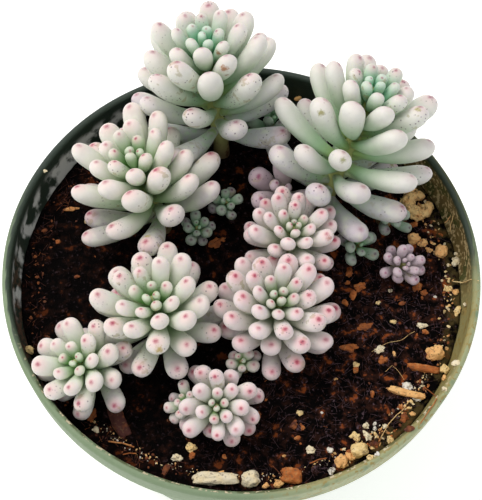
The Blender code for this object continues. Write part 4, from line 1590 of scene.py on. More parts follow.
@dataclass(frozen=True)
class Mineral:
    """Broken pumice, perlite and bark dust: porous grains and chips, dull and dusty.

    The grain's own tint picks a colour between white perlite, tan pumice and red bark.
    """

    name: str = "pumice, perlite and bark grit"
    pore: float = 0.0009
    patch: float = 0.0018
    stray: float = 0.36          # how far the colour strays from its tint
    pore_shade_fade: Fade = (0.44, 0.34, 0.6)
    colours: tuple[str, ...] = ("#ebe6db", "#efe0be", "#f2d292", "#f5bd7a", "#b4652c", "#4c231b")
    pore_shade: str = "#6b4c33"
    relief: float = 0.8
    relief_depth: float = 0.0004

    def make(self) -> Material:
        """Makes the material.

        Returns:
            The material.
        """
        made, tree = new_material(self.name, {"Roughness": 0.88})
        place = add(tree, "ShaderNodeTexCoord").outputs["Object"]
        tint = add(tree, "ShaderNodeAttribute", attribute_name="tint").outputs["Fac"]
        cloud = add(tree, NOISE, {"Vector": place, "Scale": 1 / self.patch, "Detail": 4})
        pores = add(tree, NOISE, {"Vector": place, "Scale": 1 / self.pore, "Detail": 3})
        own = add(tree, MATH, (cloud, self.stray, tint), operation="MULTIPLY_ADD")
        own = add(tree, MATH, (own, self.stray / 2), operation="SUBTRACT", use_clamp=True)
        ramp = add(tree, "ShaderNodeValToRGB", (own,))
        while len(ramp.color_ramp.elements) < len(self.colours):
            ramp.color_ramp.elements.new(0.5)
        for k, (stop, code) in enumerate(zip(ramp.color_ramp.elements, self.colours)):
            stop.position = k / (len(self.colours) - 1)
            stop.color = linear(code)
        # painted shade: the low spots of the pore noise, which the relief sinks, are painted dark brown
        colour = painted(tree, ramp, (self.pore_shade, (pores, *self.pore_shade_fade)))
        dress(tree, colour, pores, self.relief, self.relief_depth)
        return made


@dataclass(frozen=True)
class Lump:
    """A loose stone or piece of bark that lies in a dimple of the peat."""

    name: str
    place: tuple[float, float]
    size: tuple[float, float, float]
    turn: float                  # degrees of its length from +X
    stuff: Stuff
    tint: float
    sunk: float = 0.30
    detail: int = 5
    roughness: float = 0.28
    grain: float = 3.1
    fine_roughness: float = 0.07
    fine_grain: float = 9.0
    block: float = 4.0           # how square bark is, where 2 is a ball
    pebble: float = 2.6          # and a stone
    seed_step: float = 1000.0    # how far apart the noises of two places lie

    def make(self, finish: Material) -> Object:
        """Makes the lump over its solid. Bark broke along its grain, so it is blocky.

        Args:
            finish: its material.

        Returns:
            The finished piece.
        """
        bm = bmesh.new()
        bmesh.ops.create_icosphere(bm, subdivisions=self.detail, radius=0.5)
        x, y = self.place
        height = soil_height(x, y) + self.size[2] * (0.5 - self.sunk)
        place = Matrix.Translation((x, y, height)) @ Matrix.Rotation(math.radians(self.turn), 4, "Z")
        seed = Vector((x, y, 0)) * self.seed_step
        square = self.block if self.stuff == Stuff.BARK else self.pebble
        for vertex in bm.verts:
            spot = vertex.co * self.grain + seed
            rough = 1 + self.roughness * noise.noise(spot)
            fine = vertex.co * self.fine_grain + seed
            rough += self.fine_roughness * rugged(fine)
            rough *= 0.5 / sum(abs(c)**square for c in vertex.co)**(1 / square)
            vertex.co = place @ Vector(c * s for c, s in zip(vertex.co * rough, self.size))
        bm.normal_update()
        mesh = mesh_of(bm, self.name)
        marked(mesh, {"tint": [self.tint] * len(mesh.vertices)})
        mesh.shade_smooth()
        mesh.materials.append(finish)
        return piece(self.name + "_stone" if self.stuff != Stuff.BARK else self.name + "_wood",
                     mesh, self.stuff, self.name)


LUMPS = [
    Lump("pumice_tan_right", (0.0625, -0.0235), (0.0055, 0.0045, 0.0040), 20, Stuff.PUMICE, TAN),
    Lump("pumice_right", (0.0660, 0.0130), (0.0045, 0.0038, 0.0034), 70, Stuff.PUMICE, TAN),
    Lump("pumice_front_right", (0.0380, -0.0560), (0.0052, 0.0044, 0.0040), 10, Stuff.PUMICE, YELLOW),
    Lump("pumice_front", (0.0325, -0.0600), (0.0042, 0.0036, 0.0034), 80, Stuff.PUMICE, TAN),
    Lump("pumice_by_shoots", (0.0570, 0.0175), (0.0038, 0.0034, 0.0030), 30, Stuff.PUMICE, TAN),
    Lump("perlite_block", (0.0050, -0.0665), (0.0055, 0.0050, 0.0040), 15, Stuff.PERLITE, CREAM),
    Lump("bark_strip", (-0.0055, -0.0668), (0.0130, 0.0036, 0.0030), 3, Stuff.BARK, CREAM),
    Lump("bark_chip", (0.0175, -0.0650), (0.0060, 0.0042, 0.0032), 350, Stuff.BARK, ORANGE),
    Lump("bark_stick_upper", (0.0590, -0.0285), (0.0100, 0.0024, 0.0022), 352, Stuff.BARK, ORANGE),
    Lump("bark_stick_lower", (0.0530, -0.0370), (0.0110, 0.0022, 0.0020), 347, Stuff.BARK, TAN),
    Lump("bark_flake_left", (-0.0360, -0.0500), (0.0100, 0.0042, 0.0022), 118, Stuff.BARK, RED),
]


@dataclass
class Curl:
    """The curled pumice stone at the right."""

    place: tuple[float, float] = (0.0585, 0.0300)
    bend: float = 0.0037
    radius: float = 0.0019
    start: float = math.radians(75)
    sweep: float = math.radians(265)
    points: int = 9
    lift: float = 0.55
    climb: float = 0.0008
    swell: float = 0.16
    swell_beat: float = 2.1
    end: float = 0.72
    fatter: float = 1.12
    tint: float = 0.50
    knob: float = 0.00125
    knob_grain: float = 0.0029
    knob_step: float = 2.4
    between: tuple[float, ...] = (0.0, 0.34, 0.67)   # where balls lie from one point to the next
    detail: int = 3
    voxel: float = 0.00022

    def line(self) -> Iterator[tuple[Vector, float]]:
        """Follows the stone's middle line.

        Returns:
            Places along it, each with the stone's radius there.
        """
        height = soil_height(*self.place) + self.radius * self.lift
        for k in range(self.points):
            share = k / (self.points - 1)
            way = self.start + self.sweep * share
            thick = self.end if k in (0, self.points - 1) else (
                1 + self.swell * math.cos(self.swell_beat * k))
            yield (Vector((self.place[0] + self.bend * math.cos(way),
                           self.place[1] + self.bend * math.sin(way),
                           height + self.climb * share)), self.radius * thick * self.fatter)

    def make(self, finish: Material) -> Object:
        """Makes the stone over its solid, as balls along its line that are fused and roughened.

        Args:
            finish: its material.

        Returns:
            The finished piece.
        """
        stops = list(self.line())
        bm = bmesh.new()
        for (first, wide), (second, narrow) in zip(stops, stops[1:]):
            for share in self.between:
                bmesh.ops.create_icosphere(bm, subdivisions=self.detail,
                                           radius=wide + (narrow - wide) * share,
                                           matrix=Matrix.Translation(first.lerp(second, share)))
        bmesh.ops.create_icosphere(bm, subdivisions=self.detail, radius=stops[-1][1],
                                   matrix=Matrix.Translation(stops[-1][0]))
        blank = put_in("curl_blank", mesh_of(bm, "curl"))
        fuse = blank.modifiers.new("fuse", "REMESH")
        fuse.mode, fuse.voxel_size = "VOXEL", self.voxel
        mesh = baked(blank)
        bpy.data.objects.remove(blank)
        for vertex in mesh.vertices:
            rough = rugged(vertex.co / self.knob_grain, step=self.knob_step)
            vertex.co += vertex.normal * self.knob * rough
        marked(mesh, {"tint": [self.tint] * len(mesh.vertices)})
        mesh.shade_smooth()
        mesh.materials.append(finish)
        return piece("pumice_curl_stone", mesh, Stuff.PUMICE, "pumice_curl")


@dataclass(frozen=True)
class Grains:
    """One kind of loose grain, strewn over part of the peat."""

    name: str
    stuff: Stuff
    zone: Zone
    density: float               # grains on a square metre
    least: tuple[float, float, float]    # mm
    most: tuple[float, float, float]
    tints: tuple[float, float] = (0.0, 1.0)
    rough: float = 0.5
    detail: int = 2
    seed: int = 8

    def inputs(self) -> dict:
        """Gives the inputs of the tree that strews them.

        Returns:
            The values by the names of the tree's inputs.
        """
        return {"Density": self.density, "Least": tuple(size * MM for size in self.least),
                "Most": tuple(size * MM for size in self.most), "Detail": self.detail,
                "Rough": self.rough, "Least Tint": self.tints[0], "Most Tint": self.tints[1],
                "Seed": self.seed}


GRAINS = [
    Grains("peat_clods", Stuff.PEAT, EVERYWHERE, 1.3e4, (1.6, 1.4, 1.0), (4.0, 3.0, 1.8),
           rough=0.7, seed=3),
    Grains("peat_crumbs", Stuff.PEAT, EVERYWHERE, 7e4, (0.8, 0.7, 0.5), (2.0, 1.6, 1.2),
           rough=0.7, seed=2),
    Grains("peat_dust", Stuff.PEAT, EVERYWHERE, 2.2e5, (0.4, 0.3, 0.3), (1.0, 0.8, 0.7),
           rough=0.7, detail=1, seed=1),
    Grains("bark_dust", Stuff.PUMICE, EVERYWHERE, 6e3, (0.4, 0.3, 0.2), (1.8, 1.4, 1.1), (0.84, 1.0)),
    Grains("fine_grit", Stuff.PUMICE, EVERYWHERE, 7e3, (0.3, 0.25, 0.15), (0.8, 0.6, 0.5), (0.0, 0.5)),
    Grains("left_grit", Stuff.PUMICE, LEFT_FOOT, 1.2e5, (0.5, 0.4, 0.25), (1.6, 1.2, 0.9), (0.9, 1.0)),
    Grains("front_grit", Stuff.PUMICE, FRONT_FOOT, 9e5, (0.4, 0.3, 0.2), (1.3, 1.0, 0.8),
           (0.0, 0.75)),
    Grains("right_grit", Stuff.PUMICE, RIGHT_FOOT, 3.2e5, (0.5, 0.4, 0.25), (2.0, 1.6, 1.2),
           (0.2, 1.0)),
]


@dataclass(frozen=True)
class Fibres:
    """One kind of thin fibre, strewn over part of the peat."""

    name: str
    stuff: Stuff
    zone: Zone
    density: float               # fibres on a square metre
    seed: int
    tints: tuple[float, float]
    lengths: tuple[float, float] = (1.5, 5.0)    # mm
    radius: float = 0.06
    lift: float = 0.4

    def inputs(self) -> dict:
        """Gives the inputs of the tree that strews them.

        Returns:
            The values by the names of the tree's inputs.
        """
        return {"Density": self.density, "Least Length": self.lengths[0] * MM,
                "Most Length": self.lengths[1] * MM, "Radius": self.radius * MM,
                "Lift": self.lift * MM, "Least Tint": self.tints[0], "Most Tint": self.tints[1],
                "Seed": self.seed}


FIBRES = [
    Fibres("peat_fibres", Stuff.PEAT, EVERYWHERE, 3e4, 11, (0.5, 1.0)),
    Fibres("dry_fibres", Stuff.PEAT, DRY_SIDE, 2.6e5, 12, (0.6, 2.4), (1.0, 3.4), 0.05),
    Fibres("wall_fibres", Stuff.BARK, LEFT_FOOT, 2.0e5, 14, (0.86, 1.2), (1.5, 3.0), 0.05, 0.6),
    Fibres("bark_fibres", Stuff.BARK, DRY_SIDE, 6e3, 13, (0.9, 1.0), (1.5, 4.0)),
]


@dataclass(frozen=True)
class Bit:
    """A small loose grain or chip, at the pixel where it shows."""

    u: float
    v: float
    length: float                # mm
    width: float
    tint: float
    turn: float = 0.0            # degrees of its length from +X
    flat: float = 0.8            # height in widths


BITS = [
    Bit(389, 224, 1.8, 1.5, YELLOW), Bit(399, 224, 1.4, 1.2, YELLOW), Bit(414, 225, 3.0, 1.8, ORANGE, 20),
    Bit(423, 243, 3.2, 2.6, TAN, 30), Bit(429, 250, 2.2, 1.8, TAN), Bit(409, 193, 1.8, 1.6, TAN),
    Bit(456, 254, 1.5, 1.2, CREAM), Bit(459, 261, 3.0, 2.6, CREAM, 70),
    Bit(448, 289, 2.6, 1.8, YELLOW, 15), Bit(455, 292, 2.0, 1.8, TAN),
    Bit(458, 312, 3.4, 2.0, YELLOW, 60), Bit(466, 305, 1.6, 1.2, CREAM, 120),
    Bit(435, 297, 1.2, 0.9, WHITE), Bit(393, 322, 1.9, 1.6, YELLOW), Bit(422, 326, 3.4, 1.9, CREAM),
    Bit(425, 332, 2.2, 1.9, ORANGE), Bit(380, 350, 3.4, 2.2, CREAM, 35), Bit(383, 360, 3.0, 2.2, ORANGE),
    Bit(350, 348, 5.0, 2.8, 0.83, 10, 0.5), Bit(356, 365, 2.3, 1.8, YELLOW),
    Bit(356, 370, 1.8, 1.6, ORANGE, 90), Bit(372, 395, 2.2, 1.2, ORANGE, 90),
    Bit(394, 354, 1.8, 1.0, TAN, 90), Bit(449, 371, 3.0, 2.8, YELLOW), Bit(456, 363, 2.6, 1.8, CREAM, 30),
    Bit(445, 379, 1.8, 1.4, TAN, 90), Bit(445, 389, 1.6, 1.3, CREAM), Bit(407, 387, 3.0, 2.9, WHITE),
    Bit(417, 398, 2.5, 2.3, WHITE), Bit(366, 426, 2.2, 1.9, CREAM, 100), Bit(375, 429, 1.3, 1.2, WHITE),
    Bit(375, 424, 1.3, 1.0, WHITE), Bit(356, 437, 3.2, 2.6, YELLOW, 150),
    Bit(367, 436, 3.8, 2.0, CREAM, 125), Bit(385, 426, 1.6, 1.2, CREAM, 60),
    Bit(390, 440, 2.4, 1.9, YELLOW, 100), Bit(412, 414, 1.9, 1.3, TAN), Bit(404, 418, 2.8, 2.2, 0.88, 40),
    Bit(410, 430, 2.6, 1.9, 0.95, 20), Bit(375, 444, 2.8, 1.4, 0.95, 10), Bit(349, 452, 2.2, 1.3, 0.9),
    Bit(349, 457, 2.8, 2.5, TAN), Bit(358, 452, 3.2, 1.9, ORANGE, 165), Bit(377, 454, 1.5, 1.3, WHITE),
    Bit(370, 458, 2.2, 1.5, YELLOW, 30), Bit(332, 471, 2.5, 1.9, WHITE, 80),
    Bit(337, 462, 1.2, 1.0, WHITE), Bit(330, 450, 1.9, 1.7, WHITE), Bit(191, 448, 3.1, 2.7, YELLOW, 20),
    Bit(178, 458, 3.4, 2.2, CREAM), Bit(192, 456, 2.6, 2.0, ORANGE, 90, 0.4),
    Bit(223, 474, 1.7, 1.3, YELLOW), Bit(266, 486, 2.2, 1.9, TAN), Bit(278, 484, 3.2, 2.1, TAN, 25),
    Bit(311, 450, 2.8, 2.4, CREAM), Bit(300, 473, 1.1, 1.0, WHITE), Bit(297, 438, 1.6, 1.5, ORANGE),
    Bit(294, 425, 2.9, 2.3, 0.9, 70), Bit(301, 427, 2.4, 1.7, ORANGE, 100),
    Bit(300, 413, 2.1, 1.8, YELLOW), Bit(256, 418, 3.6, 2.6, 0.88, 60), Bit(224, 457, 1.6, 1.4, ORANGE),
    Bit(166, 469, 3.6, 1.6, 0.95, 65, 0.4), Bit(26, 351, 2.7, 2.3, YELLOW, 140),
    Bit(96, 430, 2.4, 2.1, CREAM), Bit(92, 416, 4.2, 2.2, 0.88, 80, 0.3), Bit(77, 277, 1.6, 1.1, 0.95),
    Bit(44, 231, 2.4, 1.1, 0.95, 30), Bit(58, 242, 1.7, 1.4, 0.85), Bit(72, 209, 4.2, 1.5, 0.72, 5),
    Bit(87, 222, 1.6, 1.4, YELLOW), Bit(45, 171, 1.5, 1.3, CREAM), Bit(289, 101, 3.6, 2.4, ORANGE, 70),
    Bit(295, 111, 3.0, 2.2, 0.72, 30), Bit(286, 119, 3.4, 2.0, 0.92, 100), Bit(299, 96, 2.4, 1.8, TAN),
    Bit(218, 243, 7.5, 3.2, 0.86, 25, 0.3), Bit(417, 287, 4.2, 2.8, 0.82, 60, 0.6),
    Bit(402, 303, 2.4, 1.4, 0.9, 20), Bit(360, 287, 4.4, 3.0, 0.81, 30, 0.6),
    Bit(345, 303, 2.6, 1.8, ORANGE, 120), Bit(353, 294, 3.0, 2.2, 0.84, 80),
    Bit(349, 273, 3.2, 2.4, 0.85, 60, 0.6), Bit(409, 276, 2.4, 1.9, TAN, 30),
    Bit(365, 327, 5.0, 2.6, 0.86, 15, 0.4), Bit(347, 283, 2.0, 1.4, ORANGE, 10),
    Bit(424, 293, 2.6, 1.8, 0.83), Bit(308, 331, 1.8, 1.4, ORANGE), Bit(378, 303, 1.5, 1.3, YELLOW),
    Bit(336, 380, 1.3, 1.2, TAN), Bit(390, 291, 1.2, 1.1, CREAM), Bit(322, 413, 1.0, 0.9, WHITE),
    Bit(284, 456, 1.0, 0.9, TAN),
]


@dataclass(frozen=True)
class Thread:
    """A root or twig that lies along the ground, through the pixels where it shows."""

    route: tuple[tuple[float, float], ...]
    radius: float                # mm
    tint: float


THREADS = [
    Thread(((411, 400), (404, 409), (398, 415), (389, 423), (384, 433), (379, 441)), 0.15, 0.5),
    Thread(((372, 352), (386, 345), (401, 340), (415, 332)), 0.07, 0.45),
    Thread(((450, 233), (451, 225), (453, 217)), 0.16, 0.45),
    Thread(((444, 223), (450, 218)), 0.20, TAN),
    Thread(((453, 282), (463, 283), (471, 280), (478, 281)), 0.18, 0.4),
    Thread(((109, 442), (122, 444), (134, 448)), 0.26, 0.75),
    Thread(((123, 455), (130, 454), (137, 454)), 0.20, 0.8),
    Thread(((309, 464), (317, 461), (326, 458)), 0.24, 0.88),
    Thread(((204, 476), (214, 474), (224, 471)), 0.20, TAN),
    Thread(((273, 466), (277, 471), (282, 478)), 0.14, 0.95),
    Thread(((385, 372), (392, 366), (398, 372), (404, 380)), 0.06, 0.5),
    Thread(((424, 388), (432, 394), (441, 402)), 0.16, 0.85),
    Thread(((436, 399), (429, 412), (420, 424)), 0.16, 0.8),
]


@dataclass
class Ground:
    """What loose bits come to lie on: the peat, and the pot's inner wall beside it."""

    pot: Pot
    surface: BVHTree

    def seen_at(self, u: float, v: float, half: float = 0.0) -> Vector:
        """Finds the place on the ground that shows at a pixel.

        Args:
            u: the pixel's column.
            v: its row.
            half: half the length of what lies there, which keeps it from piercing the pot's wall.

        Returns:
            The place.
        """
        place = self.surface.ray_cast(VIEW.place(), VIEW.ray(u, v))[0]
        most = self.pot.wall_radius(place.z) - half
        out = math.hypot(place.x, place.y)
        if out > most:
            place.x, place.y = place.x * most / out, place.y * most / out
        return place


@dataclass
class Litter:
    """Small things on the peat, strewn or placed, by Geometry Nodes trees."""

    peat: Peat
    fill: Object
    ground: Ground
    reach: float = 0.75          # how far a rough bit reaches from its middle, in lengths
    bumps: float = 900.0         # bumps of a grain to a metre of noise
    bends: float = 220.0         # bends of a strand to a metre of noise
    bit_rough: float = 0.55
    bit_rise: float = 0.0002
    bit_detail: int = 3
    strand_sides: int = 5
    strand_points: int = 6
    thread_points: int = 20
    thread_wander: float = 0.0012
    thread_lift: float = 0.0003
    lean: float = 0.5            # how far a grain leans, in radians
    strand_lean: float = 0.12
    middle_noise: tuple[float, float, float] = (0.5, 0.5, 0.35)

    def __post_init__(self) -> None:
        """Makes the trees."""
        self.grains = self.make_grains()
        self.strands = self.make_strands()

    def make_grains(self) -> NodeTree:
        """Makes the tree of rough grains, strewn over a surface or placed one by one.

        Returns:
            The tree.
        """
        tree, given, leave = new_tree("rough grains", {
            "Ground": "Geometry",
            "Placed": False,
            "Density": 1e5,
            "Least": (0.0006, 0.0005, 0.0004),
            "Most": (0.0022, 0.0016, 0.0012),
            "Rough": 0.5,
            "Bumps": self.bumps,
            "Detail": 2,
            "Sink": 0.0002,
            "Least Tint": 0.0,
            "Most Tint": 1.0,
            "Seed": 1,
            "Finish": "Material",
        })
        points = add(tree, "GeometryNodeDistributePointsOnFaces", {
            "Mesh": given["Ground"], "Density": given["Density"], "Seed": given["Seed"]})
        drawn = {
            "size": ("FLOAT_VECTOR", given["Least"], given["Most"]),
            "turn": ("FLOAT_VECTOR", (-self.lean, -self.lean, 0.0), (self.lean, self.lean, math.tau)),
            "tint": ("FLOAT", given["Least Tint"], given["Most Tint"])}
        for name, (kind, least, most) in drawn.items():
            value = add(tree, DRAW, {"Min": least, "Max": most, "Seed": given["Seed"]}, data_type=kind)
            points = add(tree, STORE, {"Geometry": points, "Name": name, "Value": value},
                         data_type=kind)
        points = add(tree, "GeometryNodeSwitch", {
            "Switch": given["Placed"], "False": points, "True": given["Ground"]}, input_type="GEOMETRY")
        points = add(tree, STORE, {"Geometry": points, "Name": "middle", "Value": add(tree, POSITION)},
                     data_type="FLOAT_VECTOR")
        size, turn, centre = (add(tree, READ, {"Name": name}, data_type="FLOAT_VECTOR")
                              for name in ("size", "turn", "middle"))
        grain = add(tree, "GeometryNodeMeshIcoSphere", {"Radius": 0.5, "Subdivisions": given["Detail"]})
        strewn = add(tree, "GeometryNodeInstanceOnPoints", {
            "Points": points, "Instance": grain, "Scale": size,
            "Rotation": add(tree, "FunctionNodeEulerToRotation", (turn,))})
        loose = add(tree, "GeometryNodeRealizeInstances", (strewn,))
        away = add(tree, VECTOR, (add(tree, POSITION), centre), operation="SUBTRACT")
        lump = add(tree, NOISE, {"Vector": add(tree, POSITION), "Scale": given["Bumps"],
                                 "Detail": 2.0})
        push = add(tree, RANGE, {"Value": lump, "From Min": NOISE_LOW, "From Max": NOISE_HIGH,
                                 "To Min": -1.0})
        push = add(tree, MATH, (push, given["Rough"]), operation="MULTIPLY")
        away = add(tree, VECTOR, {"Vector": away, "Scale": push}, operation="SCALE")
        down = add(tree, MATH, (given["Sink"], -1.0), operation="MULTIPLY")
        away = add(tree, VECTOR, (away, add(tree, "ShaderNodeCombineXYZ", {"Z": down})),
                   operation="ADD")
        shaped = add(tree, "GeometryNodeSetPosition", {"Geometry": loose, "Offset": away})
        done = add(tree, "GeometryNodeSetMaterial", {"Geometry": shaped, "Material": given["Finish"]})
        tree.links.new(done.outputs[0], leave.inputs[0])
        return tree

    def make_strands(self) -> NodeTree:
        """Makes the tree of thin curved strands, strewn over a surface or along drawn lines.

        Returns:
            The tree.
        """
        tree, given, leave = new_tree("thin strands", {
            "Ground": "Geometry",
            "Placed": False,
            "Density": 1e4,
            "Least Length": 0.0015,
            "Most Length": 0.0050,
            "Radius": 0.00006,
            "Wander": 0.0018,
            "Bends": self.bends,
            "Lift": 0.0004,
            "Least Tint": 0.0,
            "Most Tint": 1.0,
            "Seed": 1,
            "Finish": "Material",
        })
        points = add(tree, "GeometryNodeDistributePointsOnFaces", {
            "Mesh": given["Ground"], "Density": given["Density"], "Seed": given["Seed"]})
        for name, least, most in (("tint", given["Least Tint"], given["Most Tint"]),
                                  ("girth", given["Radius"], given["Radius"])):
            value = add(tree, DRAW, {"Min": least, "Max": most, "Seed": given["Seed"]})
            points = add(tree, STORE, {"Geometry": points, "Name": name, "Value": value})
        reach = add(tree, DRAW, {"Min": given["Least Length"], "Max": given["Most Length"],
                                 "Seed": given["Seed"]})
        turn = add(tree, DRAW, {"Min": (-self.strand_lean, -self.strand_lean, 0.0),
                                "Max": (self.strand_lean, self.strand_lean, math.tau),
                                "Seed": given["Seed"]}, data_type="FLOAT_VECTOR")
        line = add(tree, "GeometryNodeCurvePrimitiveLine", {"Start": (-0.5, 0, 0), "End": (0.5, 0, 0)})
        line = add(tree, "GeometryNodeResampleCurve", {"Curve": line, "Count": self.strand_points})
        strewn = add(tree, "GeometryNodeInstanceOnPoints", {
            "Points": points, "Instance": line, "Scale": reach,
            "Rotation": add(tree, "FunctionNodeEulerToRotation", (turn,))})
        loose = add(tree, "GeometryNodeRealizeInstances", (strewn,))
        drawn = add(tree, "GeometryNodeMeshToCurve", (given["Ground"],))
        drawn = add(tree, "GeometryNodeResampleCurve", {"Curve": drawn, "Count": self.thread_points})
        lines = add(tree, "GeometryNodeSwitch", {"Switch": given["Placed"], "False": loose,
                                                 "True": drawn}, input_type="GEOMETRY")
        drift = add(tree, NOISE, {"Vector": add(tree, POSITION), "Scale": given["Bends"],
                                  "Detail": 1.0})
        drift = add(tree, VECTOR, (drift.outputs["Color"], self.middle_noise), operation="SUBTRACT")
        drift = add(tree, VECTOR, {"Vector": drift, "Scale": given["Wander"]}, operation="SCALE")
        raised = add(tree, VECTOR, (drift, add(tree, "ShaderNodeCombineXYZ", {"Z": given["Lift"]})),
                     operation="ADD")
        bent = add(tree, "GeometryNodeSetPosition", {"Geometry": lines, "Offset": raised})
        circle = add(tree, "GeometryNodeCurvePrimitiveCircle", {"Resolution": self.strand_sides,
                                                                "Radius": 1.0})
        thick = add(tree, READ, {"Name": "girth"})
        tube = add(tree, "GeometryNodeCurveToMesh", {
            "Curve": bent, "Profile Curve": circle.outputs["Curve"], "Scale": thick, "Fill Caps": True})
        done = add(tree, "GeometryNodeSetMaterial", {"Geometry": tube, "Material": given["Finish"]})
        tree.links.new(done.outputs[0], leave.inputs[0])
        return tree

    def place_bits(self, finish: Material) -> None:
        """Places the grains and chips that show one by one.

        Args:
            finish: their material.
        """
        spots = [self.ground.seen_at(bit.u, bit.v, bit.length * MM * self.reach) for bit in BITS]
        mesh = points_of("placed_bits", spots, [], {
            "size": [(bit.length * MM, bit.width * MM, bit.width * bit.flat * MM) for bit in BITS],
            "turn": [(0, 0, math.radians(bit.turn)) for bit in BITS],
            "tint": [bit.tint for bit in BITS]})
        piece("stones_and_chips", grown(mesh, self.grains, {
            "Placed": True, "Detail": self.bit_detail, "Rough": self.bit_rough,
            "Sink": -self.bit_rise, "Finish": finish}), Stuff.PUMICE)

    def lay_threads(self, finish: Material) -> None:
        """Lays the roots and twigs that show one by one.

        Args:
            finish: their material.
        """
        spots, edges, radii, tints = [], [], [], []
        for thread in THREADS:
            edges += [(len(spots) + k, len(spots) + k + 1) for k in range(len(thread.route) - 1)]
            spots += [self.ground.seen_at(u, v) for u, v in thread.route]
            radii += [thread.radius * MM] * len(thread.route)
            tints += [thread.tint] * len(thread.route)
        mesh = points_of("threads", spots, edges, {"girth": radii, "tint": tints})
        piece("roots_and_twigs", grown(mesh, self.strands, {
            "Placed": True, "Wander": self.thread_wander, "Lift": self.thread_lift,
            "Finish": finish}), Stuff.BARK)

    def lay_out(self, earth: Material, mineral: Material) -> None:
        """Lays out all the litter.

        Args:
            earth: the peat's material.
            mineral: the material of stones and bark.
        """
        finishes = {Stuff.PEAT: earth, Stuff.PUMICE: mineral, Stuff.BARK: mineral}
        for tree, kinds in ((self.grains, GRAINS), (self.strands, FIBRES)):
            for kind in kinds:
                top = self.peat.top_of(self.fill, kind.zone)
                values = kind.inputs() | {"Finish": finishes[kind.stuff]}
                piece(kind.name, grown(top, tree, values), kind.stuff)
        self.place_bits(mineral)
        self.lay_threads(mineral)


@dataclass
class Scars:
    """Marks on leaves, found where they show and painted into the leaf skins."""

    shoots: list[Object]
    ragged: float = 1.7          # cells of the ragged edge in a mark's radius
    ragged_detail: int = 5
    ragged_rough: float = 0.7
    bite: float = 2.6            # how deep the edge is torn, in radii
    outer: float = 2.5           # where the mark fades out, in radii
    inner: float = 1.5
    strength: float = 0.85

    def __post_init__(self) -> None:
        """Keeps the shoots' surfaces."""
        self.surfaces = [surface_of(shoot) for shoot in self.shoots]

    def nearest(self, u: float, v: float) -> tuple[Vector, Material] | None:
        """Finds the leaf that shows at a pixel.

        Args:
            u: the pixel's column.
            v: its row.

        Returns:
            The place on the leaf and its skin, or None where no leaf shows.
        """
        hits = []
        for shoot, surface in zip(self.shoots, self.surfaces):
            place, _, face, depth = surface.ray_cast(VIEW.place(), VIEW.ray(u, v))
            if place is not None:
                skin = shoot.data.materials[shoot.data.polygons[face].material_index]
                hits.append((depth, place, skin))
        return min(hits, key=lambda hit: hit[0])[1:] if hits else None

    def paint(self) -> None:
        """Paints every mark on the leaf where it shows."""
        for scar in SCARS:
            found = self.nearest(scar.u, scar.v)
            if found is None:
                log.info("no leaf under the mark at %s, %s", scar.u, scar.v)
                continue
            place, skin = found
            self.stain(skin.node_tree, place, scar)

    def stain(self, tree: NodeTree, place: Vector, scar: Scar) -> None:
        """Paints one mark into a leaf skin.

        Args:
            tree: the skin's node tree.
            place: the middle of the mark.
            scar: its size and colour.
        """
        shader = tree.nodes["Principled BSDF"]
        under = shader.inputs["Base Color"].links[0].from_socket
        spot = add(tree, "ShaderNodeTexCoord").outputs["Object"]
        off = add(tree, VECTOR, (spot, tuple(place)), operation="DISTANCE").outputs["Value"]
        torn = add(tree, NOISE, {"Vector": spot, "Scale": self.ragged / scar.radius,
                                 "Detail": self.ragged_detail, "Roughness": self.ragged_rough})
        edge = add(tree, MATH, (torn, scar.radius * self.bite, off), operation="MULTIPLY_ADD")
        colour = painted(tree, under, (scar.colour, (
            edge, scar.radius * self.outer, scar.radius * self.inner, self.strength)))
        tree.links.new(colour.outputs[2], shader.inputs["Base Color"])


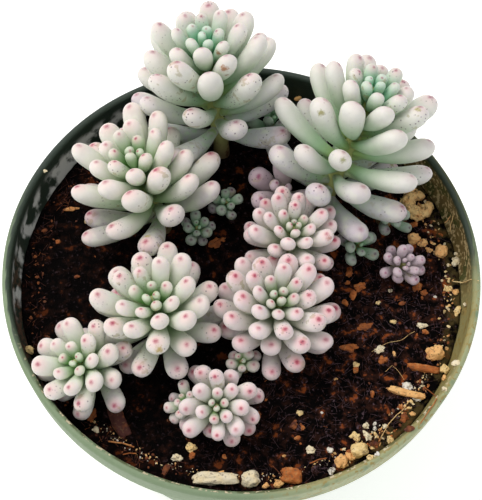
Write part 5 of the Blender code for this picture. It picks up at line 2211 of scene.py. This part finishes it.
@dataclass
class Studio:
    """A pale light table under soft light."""

    floor: str = "#f4f4f1"
    floor_size: float = 3.0
    floor_glow: float = 0.55
    key_place: tuple[float, float, float] = (-0.50, 0.25, 0.95)
    key_size: float = 0.55
    key_power: float = 5.6
    key_colour: tuple[float, float, float] = (1.0, 0.96, 0.91)
    fill: float = 0.74
    fill_colour: Colour = (0.94, 0.97, 1.0, 1.0)

    def make(self) -> None:
        """Makes the floor, the light and the sky."""
        bm = bmesh.new()
        bmesh.ops.create_grid(bm, x_segments=1, y_segments=1, size=self.floor_size / 2)
        mesh = mesh_of(bm, "floor")
        finish, _ = new_material("opal acrylic", {
            "Base Color": linear(self.floor), "Roughness": 0.9,
            "Emission Color": linear(self.floor), "Emission Strength": self.floor_glow})
        mesh.materials.append(finish)
        put_in("floor", mesh)
        key = bpy.data.lights.new("key", "AREA")
        key.size, key.energy, key.color = self.key_size, self.key_power, self.key_colour
        lamp = put_in("key", key)
        lamp.location = self.key_place
        way = Vector((0, 0, SOIL_TOP)) - lamp.location
        lamp.rotation_euler = way.to_track_quat("-Z", "Y").to_euler()
        world = bpy.data.worlds.new("sky")
        world.use_nodes = True
        world.node_tree.nodes["Background"].inputs["Strength"].default_value = self.fill
        world.node_tree.nodes["Background"].inputs["Color"].default_value = self.fill_colour
        bpy.context.scene.world = world
        bpy.context.scene.view_settings.view_transform = "Standard"


def obstacles() -> list[tuple[float, float, float, float]]:
    """Gives balls round the stones, which leaves are bent clear of.

    Returns:
        For each ball its x, y, z and radius.
    """
    curl = Curl()
    balls = [(*curl.place, SOIL_TOP + CURL_BALL_RISE, curl.bend + curl.radius + GAP)]
    return balls + [(*lump.place, SOIL_TOP + LUMP_BALL_RISE, max(lump.size) / 2) for lump in LUMPS]


def main() -> None:
    """Builds every part of the plant and the studio, and reports each piece."""
    logging.basicConfig(level=logging.INFO, format="%(name)s: %(message)s")
    VIEW.make()
    Studio().make()
    pot = Pot()
    shell = pot.make()
    earth, mineral = PeatEarth().make(), Mineral().make()
    peat = Peat()
    fill = peat.make(pot, earth)
    for lump in LUMPS:
        lump.make(mineral)
    Curl().make(mineral)
    Litter(peat, fill, Ground(pot, surface_of(fill, shell))).lay_out(earth, mineral)
    leafage = Leafage(Planting(SHOOTS, obstacles()))
    shoots = [leafage.grow(k) for k in range(len(SHOOTS))]
    Scars(shoots).paint()


if __name__ == "__main__":
    main()
